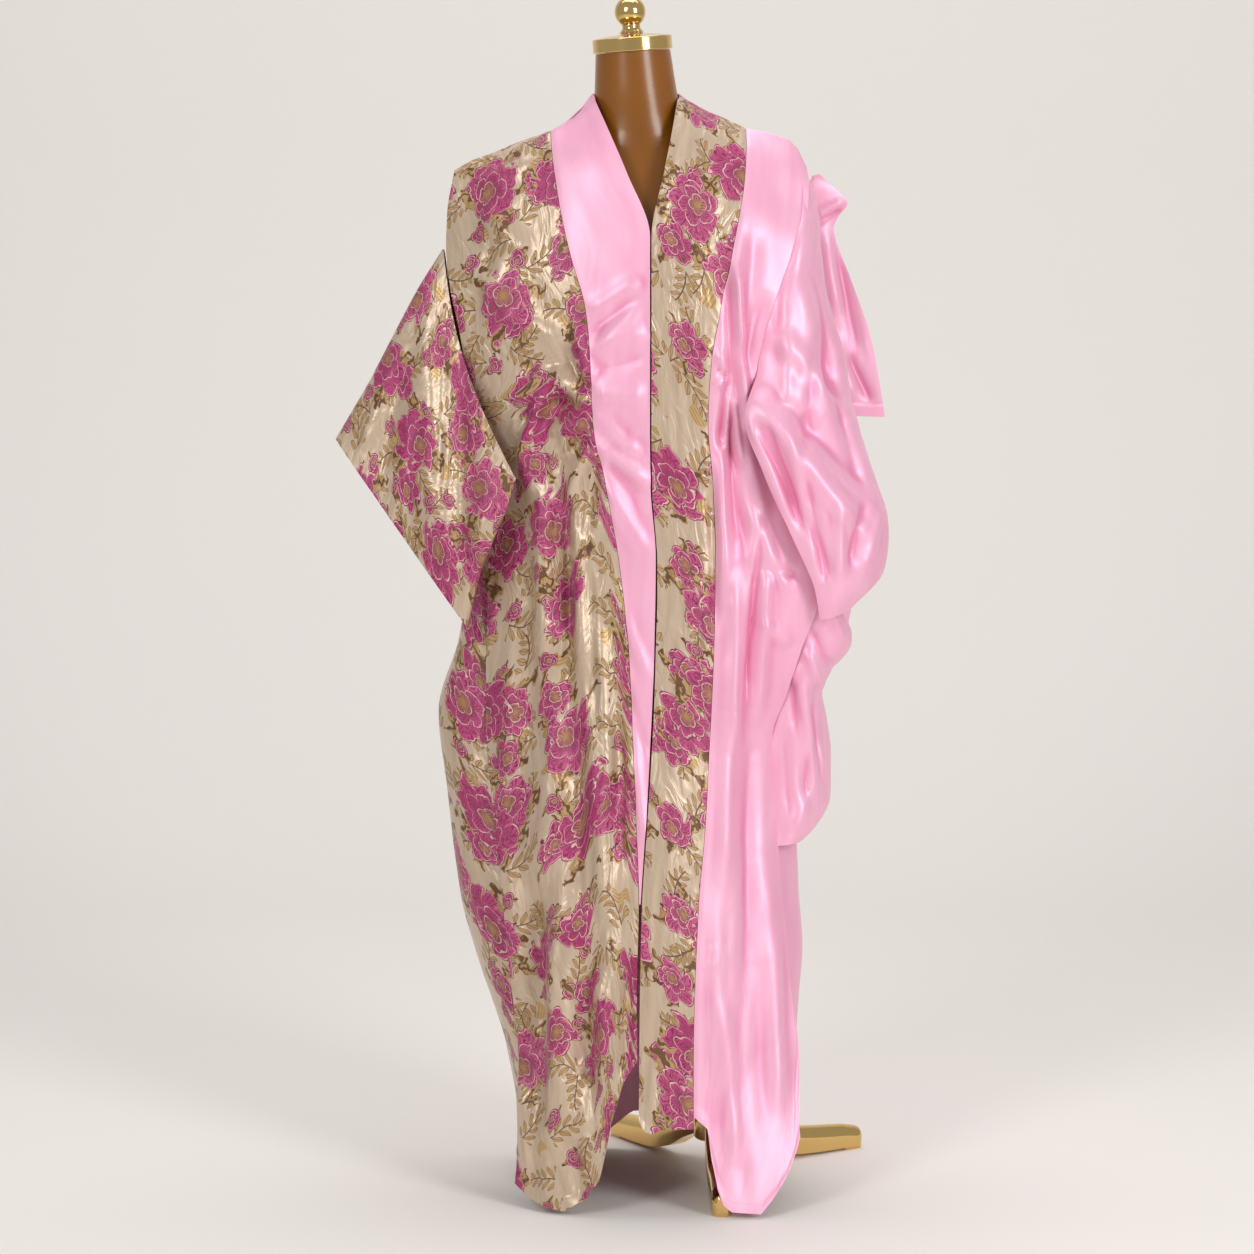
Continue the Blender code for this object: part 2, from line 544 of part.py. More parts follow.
def back_grid(table, hem, columns):
    """Points of a back. Each row is a curve in plan from the outer edge to the centre back."""
    shares = np.linspace(0, 1, columns + 1)
    places = hemmed_places(table, 1, LEVELS_BACK, np.interp(shares, *zip(*hem)))
    row = dict(zip(BACK_COLUMNS, np.moveaxis(smooth_columns(table, places), -1, 0)))
    x = bezier([row[f"x{i}"] for i in range(4)], shares)
    y = bezier([row[f"y{i}"] for i in range(4)], shares)
    z = row["out_z"] + (row["in_z"] - row["out_z"]) * shares[None, :]
    over = np.clip(1 - places / 2.6, 0, 1) ** 2
    top = np.interp(x[0], *zip(*BACK_RIDGE))
    z = z + (top - z[0])[None, :] * over
    points = clear_of_form(np.stack([x, y, z], axis=-1))
    return folded(points, BACK_FOLDS, facing=1)


def drape_grid(table, levels, columns, folds):
    """Points of a draped piece. Each row is a curve in plan from its inner edge round to its far edge."""
    shares = np.linspace(0, 1, columns + 1)
    row = dict(zip(DRAPE_COLUMNS, smooth_columns(table, np.linspace(0, len(table) - 1, levels + 1)).T))
    x = bezier([row[f"x{i}"] for i in range(4)], shares)
    y = bezier([row[f"y{i}"] for i in range(4)], shares)
    z = row["in_z"][:, None] + (row["out_z"] - row["in_z"])[:, None] * shares[None, :] ** 1.2
    return folded(np.stack([x, y, z], axis=-1), folds, facing=-1)


def sleeve_grid():
    """Points of the flat sleeve: rings between its top fold and its lower fold, bowed outwards at the armhole."""
    turn = np.arange(SLEEVE_AROUND) * 2 * math.pi / SLEEVE_AROUND
    places = np.linspace(0, len(BROCADE_SLEEVE) - 1, SLEEVE_LEVELS + 1)
    row = dict(zip(SLEEVE_COLUMNS, smooth_columns(BROCADE_SLEEVE, places).T[:, :, None]))
    down = (1 - np.cos(turn))[None, :] / 2
    x = row["top_x"] + (row["low_x"] - row["top_x"]) * down + row["bow"] * np.sin(math.pi * down)
    x = x + np.where(np.sin(turn) > 0, row["back_bow"] * np.sin(math.pi * down**2), 0)
    z = row["top_z"] + (row["low_z"] - row["top_z"]) * down
    middle = row["top_y"] + (row["low_y"] - row["top_y"]) * down**2
    side = np.sin(turn)[None, :]
    behind = row["behind"] * (1 - 0.9 * down**2)
    y = middle + np.where(side < 0, row["before"] * side, behind * side)
    points = np.stack([x, y, z], axis=-1)
    height = fold_heights(points, SLEEVE_FOLDS) * np.clip(-side * 2, 0, 1)
    points[..., 1] -= height
    return points


def neck_band_grid(around=14, across=3):
    """Points of the band behind the neck, from the backs' top edges in to the neck itself."""
    half = np.linspace(0.5, 1, around // 2 + 1)
    outer = []
    for table, ends in ((BROCADE_BACK, half), (SATIN_BACK, half[::-1][1:])):
        handles = dict(zip(BACK_COLUMNS, table[0]))
        x = bezier([np.array([handles[f"x{i}"]]) for i in range(4)], ends)[0]
        y = bezier([np.array([handles[f"y{i}"]]) for i in range(4)], ends)[0]
        outer.append(np.stack([x, y, np.interp(x, *zip(*BACK_RIDGE))], axis=-1))
    outer = np.concatenate(outer)
    outer[:, 1] = np.maximum(outer[:, 1] - 2.4 * WALL, 0.0012)
    turn = np.linspace(math.pi, 0, len(outer))
    level = 1.508
    wide, deep, _ = form_half_sizes(level)
    inner = np.stack(
        [
            pole_x(level) + (wide + CLEAR_OF_FORM) * np.cos(turn),
            (deep + CLEAR_OF_FORM) * np.sin(turn) + 0.0012,
            np.full(len(turn), level),
        ],
        axis=-1,
    )
    share = np.linspace(0, 1, across + 1)[:, None, None]
    points = inner[None] + (outer - inner)[None] * share
    points[..., 2] -= 0.004 * np.sin(math.pi * share[..., 0])
    return clear_of_form(points)


def turned(name, profile, sides, finish, parent, at, lean=0.0):
    """A solid of revolution from (radius, height) rows, bottom to top, closed with flat ends, tilted by lean."""
    rings = []
    for radius, height in profile:
        angle = np.arange(sides) * 2 * math.pi / sides
        rings.append(np.stack([radius * np.cos(angle), radius * np.sin(angle), np.full(sides, height)], -1))
    points = np.concatenate(rings)
    tilt = np.array(Matrix.Rotation(lean, 3, Vector((0, 1, 0))))
    points = points @ tilt.T + np.array(at)
    faces = [tuple(range(sides))[::-1]]
    for ring in range(len(profile) - 1):
        for k in range(sides):
            a, b = ring * sides + k, ring * sides + (k + 1) % sides
            faces.append((a, b, b + sides, a + sides))
    faces.append(tuple(range((len(profile) - 1) * sides, len(profile) * sides)))
    return add_mesh(name, points, faces, finish, parent)


def dress_form(parent, sides=28):
    """The limbless form: oval sections up a leaning axis, with a level bottom and a top tilted to suit the cap."""
    turn = np.arange(sides) * 2 * math.pi / sides
    rings = []
    for level, wide, deep, shift in FORM_SECTIONS:
        tilt = -POLE_LEAN * np.clip((level - NECK_TILT_FROM) / (FORM_TOP - NECK_TILT_FROM), 0, 1)
        x, y = wide * np.cos(turn), shift + deep * np.sin(turn)
        rings.append(np.stack([pole_x(level) + x, y, level + tilt * x], -1))
    points = np.concatenate(rings)
    faces = [tuple(range(sides))[::-1]]
    for ring in range(len(rings) - 1):
        for k in range(sides):
            a, b = ring * sides + k, ring * sides + (k + 1) % sides
            faces.append((a, b, b + sides, a + sides))
    faces.append(tuple(range((len(rings) - 1) * sides, len(rings) * sides)))
    return add_mesh("dress_form", points, faces, FORM_SKIN, parent)


def neck_cap(parent):
    """The gold cap on the neck: a short drum with a shallow dome, tilted with the pole."""
    base = FORM_TOP + CAP_GAP
    profile = [
        (CAP_RADIUS - 0.0012, 0.0),
        (CAP_RADIUS, 0.0012),
        (CAP_RADIUS, CAP_HEIGHT - 0.003),
        (CAP_RADIUS - 0.003, CAP_HEIGHT),
        (CAP_RADIUS * 0.62, CAP_HEIGHT + 0.0035),
        (0.017, CAP_HEIGHT + 0.0048),
    ]
    turned("neck_cap", profile, 40, GOLD, parent, (pole_x(base), 0, base), math.atan(POLE_LEAN))


def finial(parent):
    """The turned finial: a flared foot, a short neck and a ball."""
    base = FORM_TOP + CAP_GAP + CAP_HEIGHT + 0.0048 + 0.0004
    ball = [
        (BALL_RADIUS * math.sin(a), BALL_CENTRE - BALL_RADIUS * math.cos(a))
        for a in np.radians(np.arange(36, 175, 14))
    ]
    profile = [(0.0150, 0.0), (0.0162, 0.0015), (0.0150, 0.0042), (0.0128, 0.0062), (0.0126, 0.0108)]
    profile += ball + [(0.0008, BALL_CENTRE + BALL_RADIUS)]
    turned("finial", profile, 24, GOLD, parent, (pole_x(base), 0, base), math.atan(POLE_LEAN))


def stand_column(parent):
    """The post from the hub up to the form's flat bottom, and a collar at its top."""
    bottom = HUB_TOP + 0.0014
    lean = math.atan(POLE_LEAN)
    length = (FORM_BOTTOM - 0.0021 - bottom) / math.cos(lean)
    profile = [
        (COLUMN_RADIUS, 0.0),
        (COLUMN_RADIUS, length - 0.030),
        (0.024, length - 0.024),
        (0.024, length),
    ]
    turned("stand_column", profile, 20, GOLD, parent, (pole_x(bottom), 0, bottom), lean)


def stand_hub(parent):
    profile = [
        (HUB_RADIUS - 0.004, HUB_BOTTOM),
        (HUB_RADIUS, HUB_BOTTOM + 0.004),
        (HUB_RADIUS, HUB_TOP - 0.018),
        (HUB_RADIUS * 0.7, HUB_TOP - 0.006),
        (HUB_RADIUS * 0.6, HUB_TOP),
    ]
    turned("stand_hub", profile, 24, GOLD, parent, (pole_x(0.0), 0, 0))


def leg(name, heading, parent):
    """A bar with a rounded top and flat sides that slopes down from the hub and stands on a flat foot.
    Columns: distance out, underside, side height, top, half width."""
    stations = (
        (HUB_RADIUS + 0.0006, 0.050, 0.076, 0.088, 0.0120),
        (0.060, 0.036, 0.062, 0.077, 0.0135),
        (0.100, 0.016, 0.042, 0.060, 0.0145),
        (0.150, 0.005, 0.025, 0.0445, 0.015),
        (0.205, 0.003, 0.0195, 0.0385, 0.015),
        (0.226, 0.003, 0.0185, 0.0365, 0.015),
        (0.2264, 0.000, 0.0185, 0.0365, 0.015),
        (LEG_LENGTH - 0.013, 0.000, 0.0165, 0.0325, 0.015),
        (LEG_LENGTH - 0.004, 0.000, 0.0160, 0.0300, 0.0125),
        (LEG_LENGTH, 0.000, 0.0150, 0.0255, 0.0085),
    )
    arc = np.radians(np.linspace(0, 180, 9))
    rings = []
    for out, low, side, top, half in stations:
        across = np.concatenate([[half * 0.86, half], half * np.cos(arc)[1:-1], [-half, -half * 0.86]])
        level = np.concatenate([[low, side], side + (top - side) * np.sin(arc)[1:-1], [side, low]])
        rings.append(np.stack([np.full(len(across), out), across, level], -1))
    points = np.concatenate(rings)
    turn = np.array(Matrix.Rotation(math.radians(heading), 3, "Z"))
    points = points @ turn.T + np.array((pole_x(0.0), 0, 0))
    sides = len(rings[0])
    faces = [tuple(range(sides))[::-1]]
    for ring in range(len(rings) - 1):
        for k in range(sides):
            a, b = ring * sides + k, ring * sides + (k + 1) % sides
            faces.append((a, b, b + sides, a + sides))
    faces.append(tuple(range((len(rings) - 1) * sides, len(rings) * sides)))
    return add_mesh(name, points, faces, GOLD, parent)


def garment(parent):
    front = front_grid(RIGHT_FRONT, BROCADE_FRONT_HEM, 16, "panel", BROCADE_FRONT_FOLDS + SATIN_BAND_FOLDS)
    wall("brocade_front", front, BROCADE, parent)
    band = front_grid(RIGHT_FRONT, SATIN_BAND_HEM, 4, "band", BROCADE_FRONT_FOLDS + SATIN_BAND_FOLDS)
    wall("satin_band", band, SATIN, parent)
    front = front_grid(LEFT_FRONT, SATIN_FRONT_HEM, 12, "panel", SATIN_FRONT_FOLDS)
    wall("satin_front", front, SATIN, parent)
    band = front_grid(LEFT_FRONT, BROCADE_BAND_HEM, 5, "band", SATIN_FRONT_FOLDS)
    wall("brocade_band", band, BROCADE, parent)
    wall("brocade_back", back_grid(BROCADE_BACK, BROCADE_BACK_HEM, 14), BROCADE, parent)
    wall("satin_back", back_grid(SATIN_BACK, SATIN_BACK_HEM, 14), SATIN, parent)
    wall("brocade_sleeve", sleeve_grid(), BROCADE, parent, closed=True)
    wall("satin_drape", drape_grid(SATIN_DRAPE, 24, 16, DRAPE_FOLDS), SATIN, parent)
    wall("satin_fall", drape_grid(SATIN_FALL, 14, 12, FALL_FOLDS), SATIN, parent)
    wall("satin_sleeve", drape_grid(SATIN_SLEEVE, 12, 5, ()), SATIN, parent)
    wall("neck_band", neck_band_grid(), SATIN, parent)


def centre_over_floor(parent):
    """Moves everything so that the origin is on the floor under the middle of the part's box."""
    corners = [
        np.array([v.co for v in child.data.vertices]) for child in parent.children if child.type == "MESH"
    ]
    points = np.concatenate(corners)
    low, high = points.min(axis=0), points.max(axis=0)
    middle = (low + high) / 2
    parent.location = (-middle[0], -middle[1], -low[2])


def main():
    clear_scene()
    whole = bpy.data.objects.new("whole_part", None)
    bpy.context.scene.collection.objects.link(whole)
    dress_form(whole)
    neck_cap(whole)
    finial(whole)
    stand_column(whole)
    stand_hub(whole)
    for name, heading in LEG_TURNS:
        leg(name, heading, whole)
    garment(whole)
    centre_over_floor(whole)
    bpy.context.view_layer.update()


main()
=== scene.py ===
"""Looks of the half brocade, half satin gown on its dress form: fine cloth, finishes, stage, lights and camera.
The tables measure from the garment's centre line at floor level, as in the part's own source, and PLACE then
moves each point into the part's frame. Metres, +Z up, front towards -Y."""

import math

import bpy
import numpy as np
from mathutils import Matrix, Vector


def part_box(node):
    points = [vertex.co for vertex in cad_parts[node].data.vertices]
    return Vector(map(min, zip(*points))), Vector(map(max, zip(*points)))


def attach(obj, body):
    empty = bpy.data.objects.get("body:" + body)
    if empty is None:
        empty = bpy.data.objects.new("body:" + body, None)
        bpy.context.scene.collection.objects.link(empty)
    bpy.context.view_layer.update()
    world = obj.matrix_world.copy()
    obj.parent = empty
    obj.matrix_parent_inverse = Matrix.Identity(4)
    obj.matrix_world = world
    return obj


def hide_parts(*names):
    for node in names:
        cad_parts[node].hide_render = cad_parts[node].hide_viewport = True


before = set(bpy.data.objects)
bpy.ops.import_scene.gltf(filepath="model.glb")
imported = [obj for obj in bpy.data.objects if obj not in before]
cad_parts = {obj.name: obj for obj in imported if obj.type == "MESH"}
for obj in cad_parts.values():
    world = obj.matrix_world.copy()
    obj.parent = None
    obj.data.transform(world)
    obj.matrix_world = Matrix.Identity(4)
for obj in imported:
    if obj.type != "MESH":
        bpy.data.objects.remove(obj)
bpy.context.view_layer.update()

# Driving sizes
WALL = 0.0018
SEAM = 0.0004
CLEAR_OF_FORM = 0.0018
HEM_EASE_LEVEL = 0.45
POLE_FOOT_X = 0.088
POLE_LEAN = -0.0715
LEVELS_FRONT = 260
LEVELS_BACK = 170
# Reach and depth of the trough measure that places the satin's painted shade
TROUGH_REACH = 0.014
TROUGH_DEPTH = 0.0016

# The stand
LEG_LENGTH = 0.258
LEG_TURNS = (("leg_front", -88.0), ("leg_right", 34.0), ("leg_left", 122.0))
HUB_RADIUS = 0.026
HUB_TOP = 0.110
HUB_BOTTOM = 0.046
COLUMN_RADIUS = 0.0125
FORM_BOTTOM = 0.740
FORM_TOP = 1.5655
CAP_RADIUS = 0.0545
CAP_HEIGHT = 0.0185
BALL_RADIUS = 0.0212
BALL_CENTRE = 0.0297
CAP_GAP = 0.0006
NECK_TILT_FROM = 1.500

# Dress form sections: level, half width, half depth, shift towards the back
FORM_SECTIONS = (
    (0.740, 0.118, 0.088, 0.000),
    (0.790, 0.134, 0.098, 0.002),
    (0.860, 0.138, 0.101, 0.003),
    (0.950, 0.124, 0.092, 0.000),
    (1.050, 0.110, 0.086, 0.000),
    (1.150, 0.122, 0.096, 0.000),
    (1.250, 0.142, 0.106, 0.000),
    (1.320, 0.156, 0.100, 0.002),
    (1.380, 0.150, 0.080, 0.003),
    (1.415, 0.122, 0.066, 0.002),
    (1.440, 0.084, 0.055, 0.000),
    (1.460, 0.066, 0.052, 0.000),
    (1.482, 0.060, 0.0515, 0.000),
    (1.510, 0.0565, 0.052, 0.000),
    (1.5655, 0.0510, 0.050, 0.000),
)

# Shoulder line of the fronts, and of the backs: place across, level
FRONT_RIDGE = (
    (-0.270, 1.403),
    (-0.243, 1.418),
    (-0.209, 1.430),
    (-0.165, 1.447),
    (-0.136, 1.456),
    (-0.107, 1.471),
    (-0.092, 1.489),
    (-0.077, 1.509),
    (0.038, 1.505),
    (0.080, 1.483),
    (0.131, 1.461),
    (0.157, 1.455),
    (0.189, 1.445),
    (0.201, 1.433),
    (0.216, 1.404),
)
BACK_RIDGE = (
    (-0.270, 1.403),
    (-0.243, 1.418),
    (-0.209, 1.430),
    (-0.165, 1.447),
    (-0.136, 1.456),
    (-0.020, 1.450),
    (0.131, 1.461),
    (0.157, 1.455),
    (0.189, 1.445),
    (0.201, 1.433),
    (0.216, 1.404),
)

# Fronts, from the shoulder down. Columns: level at the centre edge, its place across and its depth,
# place across of the band's seam, then the outer edge's place across, depth and level
FRONT_COLUMNS = ("in_z", "in_x", "in_y", "seam_x", "out_x", "out_y", "out_z")
RIGHT_FRONT = (
    (1.509, -0.077, -0.001, -0.136, -0.268, -0.001, 1.404),
    (1.500, -0.075, -0.030, -0.136, -0.272, -0.007, 1.385),
    (1.462, -0.058, -0.068, -0.133, -0.278, -0.011, 1.345),
    (1.400, -0.031, -0.098, -0.124, -0.279, -0.022, 1.300),
    (1.318, -0.001, -0.120, -0.107, -0.272, -0.050, 1.240),
    (1.240, -0.001, -0.130, -0.088, -0.260, -0.056, 1.180),
    (1.160, -0.001, -0.135, -0.081, -0.250, -0.058, 1.125),
    (1.070, -0.001, -0.132, -0.078, -0.236, -0.058, 1.055),
    (0.980, 0.000, -0.133, -0.060, -0.226, -0.055, 0.975),
    (0.880, 0.007, -0.140, -0.043, -0.222, -0.055, 0.880),
    (0.760, 0.005, -0.152, -0.030, -0.225, -0.060, 0.760),
    (0.640, 0.000, -0.170, -0.024, -0.226, -0.075, 0.640),
    (0.520, -0.007, -0.192, -0.019, -0.214, -0.105, 0.520),
    (0.410, -0.014, -0.208, -0.016, -0.202, -0.132, 0.410),
    (0.300, -0.018, -0.222, -0.0185, -0.190, -0.152, 0.300),
    (0.200, -0.017, -0.236, -0.0175, -0.180, -0.172, 0.200),
    (0.100, -0.017, -0.256, -0.0175, -0.180, -0.190, 0.100),
    (0.000, -0.017, -0.272, -0.0175, -0.187, -0.203, 0.000),
)
LEFT_FRONT = (
    (1.505, 0.038, -0.001, 0.131, 0.214, -0.001, 1.404),
    (1.496, 0.036, -0.030, 0.131, 0.216, -0.024, 1.385),
    (1.458, 0.029, -0.068, 0.128, 0.213, -0.045, 1.345),
    (1.400, 0.017, -0.098, 0.121, 0.204, -0.072, 1.312),
    (1.318, 0.001, -0.120, 0.107, 0.186, -0.092, 1.262),
    (1.240, 0.001, -0.130, 0.095, 0.170, -0.104, 1.209),
    (1.160, 0.001, -0.135, 0.082, 0.150, -0.112, 1.140),
    (1.070, 0.001, -0.132, 0.078, 0.150, -0.105, 1.060),
    (0.980, 0.002, -0.133, 0.085, 0.180, -0.112, 0.975),
    (0.880, 0.009, -0.140, 0.088, 0.214, -0.124, 0.880),
    (0.830, 0.009, -0.145, 0.088, 0.229, -0.124, 0.830),
    (0.760, 0.007, -0.152, 0.086, 0.207, -0.118, 0.760),
    (0.690, 0.005, -0.161, 0.083, 0.185, -0.108, 0.690),
    (0.630, 0.002, -0.172, 0.080, 0.166, -0.102, 0.630),
    (0.520, -0.005, -0.192, 0.074, 0.172, -0.110, 0.520),
    (0.410, -0.012, -0.208, 0.065, 0.181, -0.130, 0.410),
    (0.300, -0.0145, -0.224, 0.060, 0.191, -0.150, 0.300),
    (0.200, -0.0155, -0.235, 0.058, 0.202, -0.172, 0.200),
    (0.100, -0.016, -0.256, 0.058, 0.203, -0.212, 0.100),
    (0.000, -0.016, -0.280, 0.060, 0.175, -0.266, 0.000),
)

# Hems: share of the way across from the centre edge, level
BROCADE_FRONT_HEM = (
    (0.00, 0.209),
    (0.12, 0.180),
    (0.22, 0.125),
    (0.26, 0.090),
    (0.31, 0.052),
    (0.42, 0.025),
    (0.58, 0.006),
    (0.75, 0.008),
    (0.88, 0.018),
    (1.00, 0.032),
)
SATIN_BAND_HEM = ((0.00, 0.420), (1.00, 0.420))
BROCADE_BAND_HEM = ((0.00, 0.130), (0.10, 0.116), (0.25, 0.113), (0.40, 0.119), (1.00, 0.119))
SATIN_FRONT_HEM = (
    (0.00, 0.135),
    (0.13, 0.118),
    (0.16, 0.081),
    (0.24, 0.039),
    (0.32, 0.018),
    (0.42, 0.010),
    (0.76, 0.006),
    (0.86, 0.025),
    (0.92, 0.045),
    (1.00, 0.100),
)

# Backs, from the shoulder down, as curves in plan with four handles each. Columns: level at the outer edge and
# at the centre back, then each handle's place across and depth
BACK_COLUMNS = ("out_z", "in_z", "x0", "y0", "x1", "y1", "x2", "y2", "x3", "y3")
BROCADE_BACK = (
    (1.404, 1.450, -0.268, 0.001, -0.160, 0.001, -0.100, 0.000, -0.020, 0.085),
    (1.388, 1.438, -0.272, 0.008, -0.190, 0.022, -0.100, 0.055, -0.020, 0.100),
    (1.350, 1.400, -0.2775, 0.012, -0.215, 0.050, -0.110, 0.100, -0.021, 0.118),
    (1.300, 1.330, -0.2803, 0.022, -0.225, 0.080, -0.110, 0.125, -0.022, 0.130),
    (1.180, 1.200, -0.2786, 0.032, -0.240, 0.100, -0.120, 0.135, -0.024, 0.135),
    (1.080, 1.080, -0.262, 0.000, -0.265, 0.080, -0.130, 0.130, -0.027, 0.125),
    (0.980, 0.980, -0.212, -0.048, -0.266, -0.040, -0.272, 0.115, -0.030, 0.120),
    (0.880, 0.880, -0.208, -0.048, -0.275, -0.043, -0.278, 0.115, -0.033, 0.122),
    (0.760, 0.760, -0.210, -0.053, -0.300, -0.053, -0.300, 0.120, -0.038, 0.126),
    (0.656, 0.656, -0.212, -0.066, -0.346, -0.065, -0.334, 0.122, -0.043, 0.128),
    (0.540, 0.540, -0.202, -0.094, -0.328, -0.080, -0.320, 0.122, -0.050, 0.130),
    (0.404, 0.404, -0.188, -0.126, -0.305, -0.105, -0.302, 0.122, -0.058, 0.132),
    (0.316, 0.316, -0.178, -0.142, -0.272, -0.120, -0.276, 0.120, -0.064, 0.132),
    (0.196, 0.196, -0.167, -0.166, -0.216, -0.130, -0.226, 0.115, -0.070, 0.130),
    (0.100, 0.100, -0.166, -0.182, -0.195, -0.130, -0.206, 0.112, -0.074, 0.128),
    (0.000, 0.000, -0.170, -0.194, -0.195, -0.130, -0.206, 0.112, -0.076, 0.128),
)
SATIN_BACK = (
    (1.404, 1.450, 0.214, 0.001, 0.150, 0.001, 0.100, 0.000, -0.0188, 0.085),
    (1.388, 1.438, 0.216, 0.024, 0.170, 0.030, 0.090, 0.055, -0.0188, 0.100),
    (1.350, 1.400, 0.220, 0.040, 0.170, 0.060, 0.090, 0.100, -0.0202, 0.118),
    (1.300, 1.330, 0.220, 0.050, 0.170, 0.090, 0.090, 0.125, -0.0212, 0.130),
    (1.180, 1.200, 0.212, 0.045, 0.190, 0.110, 0.100, 0.135, -0.0232, 0.135),
    (1.080, 1.080, 0.200, 0.015, 0.220, 0.100, 0.110, 0.130, -0.0262, 0.125),
    (0.980, 0.980, 0.158, -0.084, 0.270, -0.055, 0.262, 0.115, -0.0292, 0.120),
    (0.880, 0.880, 0.154, -0.074, 0.275, -0.050, 0.265, 0.115, -0.0322, 0.122),
    (0.760, 0.760, 0.134, -0.079, 0.262, -0.062, 0.255, 0.118, -0.0372, 0.126),
    (0.656, 0.656, 0.144, -0.087, 0.236, -0.070, 0.238, 0.120, -0.0422, 0.128),
    (0.540, 0.540, 0.156, -0.100, 0.234, -0.086, 0.234, 0.122, -0.0492, 0.130),
    (0.420, 0.420, 0.166, -0.121, 0.236, -0.102, 0.236, 0.124, -0.0562, 0.132),
    (0.345, 0.345, 0.171, -0.134, 0.243, -0.114, 0.243, 0.124, -0.0612, 0.132),
    (0.250, 0.250, 0.180, -0.154, 0.228, -0.128, 0.230, 0.120, -0.0662, 0.130),
    (0.120, 0.120, 0.187, -0.196, 0.210, -0.140, 0.214, 0.116, -0.0722, 0.128),
    (0.000, 0.000, 0.187, -0.204, 0.210, -0.140, 0.214, 0.116, -0.0752, 0.128),
)
BROCADE_BACK_HEM = ((0.00, 0.105), (0.20, 0.060), (0.45, 0.030), (0.70, 0.016), (1.00, 0.012))
SATIN_BACK_HEM = (
    (0.00, 0.130),
    (0.20, 0.085),
    (0.45, 0.082),
    (0.72, 0.086),
    (0.80, 0.066),
    (0.94, 0.056),
    (1.00, 0.014),
)

# The brocade sleeve, from armhole to cuff. Columns: the top fold's place across and level, the lower fold's
# place across and level, how far the ring bows outwards and how much more its back layer does, depth before
# and behind its middle, the depth of the top fold and of the lower fold
SLEEVE_COLUMNS = ("top_x", "top_z", "low_x", "low_z", "bow", "back_bow", "before", "behind", "top_y", "low_y")
BROCADE_SLEEVE = (
    (-0.2835, 1.297, -0.183, 0.992, -0.020, -0.045, 0.022, 0.072, -0.020, -0.130),
    (-0.318, 1.243, -0.196, 0.950, -0.020, -0.038, 0.030, 0.066, -0.016, -0.128),
    (-0.352, 1.180, -0.215, 0.905, -0.014, -0.024, 0.038, 0.056, -0.014, -0.122),
    (-0.388, 1.112, -0.233, 0.858, -0.008, -0.010, 0.044, 0.046, -0.012, -0.110),
    (-0.433, 1.036, -0.251, 0.786, 0.000, 0.000, 0.040, 0.040, -0.014, -0.094),
)
SLEEVE_AROUND = 150
SLEEVE_LEVELS = 140

# Draped satin pieces as curves in plan with four handles each. Columns: level at the inner edge and at the
# far side, then each handle's place across and depth
DRAPE_COLUMNS = ("in_z", "out_z", "x0", "y0", "x1", "y1", "x2", "y2", "x3", "y3")
SATIN_DRAPE = (
    (1.384, 1.392, 0.2177, -0.026, 0.2215, -0.012, 0.2230, 0.004, 0.2215, 0.026),
    (1.345, 1.355, 0.2155, -0.047, 0.2240, -0.050, 0.2340, -0.008, 0.2235, 0.031),
    (1.311, 1.317, 0.2065, -0.073, 0.2240, -0.080, 0.2430, -0.018, 0.2265, 0.034),
    (1.209, 1.222, 0.1725, -0.105, 0.2200, -0.135, 0.2760, -0.050, 0.2330, 0.036),
    (1.140, 1.145, 0.1530, -0.118, 0.2100, -0.160, 0.3050, -0.060, 0.2460, 0.034),
    (1.075, 1.075, 0.1270, -0.150, 0.2050, -0.185, 0.3250, -0.072, 0.2580, 0.026),
    (0.998, 1.000, 0.1530, -0.155, 0.2300, -0.190, 0.3560, -0.082, 0.2780, 0.014),
    (0.921, 0.925, 0.1880, -0.155, 0.2560, -0.185, 0.3800, -0.090, 0.3000, 0.000),
    (0.841, 0.868, 0.2230, -0.150, 0.2700, -0.175, 0.3560, -0.090, 0.3020, -0.010),
    (0.800, 0.824, 0.2300, -0.142, 0.2500, -0.155, 0.3000, -0.100, 0.2760, -0.020),
)
SATIN_FALL = (
    (0.822, 0.845, 0.2000, -0.104, 0.2360, -0.150, 0.2900, -0.090, 0.2700, -0.018),
    (0.761, 0.761, 0.1820, -0.097, 0.2420, -0.150, 0.3080, -0.070, 0.2600, -0.010),
    (0.732, 0.725, 0.1750, -0.094, 0.2340, -0.150, 0.2780, -0.070, 0.2450, 0.000),
    (0.690, 0.694, 0.1640, -0.092, 0.2200, -0.140, 0.2520, -0.060, 0.2300, 0.010),
    (0.655, 0.645, 0.1560, -0.091, 0.2100, -0.140, 0.2660, -0.060, 0.2350, 0.020),
    (0.600, 0.590, 0.1480, -0.092, 0.2120, -0.145, 0.2800, -0.060, 0.2350, 0.030),
    (0.545, 0.540, 0.1540, -0.098, 0.2120, -0.145, 0.2800, -0.060, 0.2350, 0.030),
    (0.505, 0.507, 0.1620, -0.106, 0.2080, -0.140, 0.2500, -0.070, 0.2250, 0.010),
    (0.484, 0.492, 0.1660, -0.110, 0.1950, -0.135, 0.2200, -0.090, 0.2150, -0.020),
)
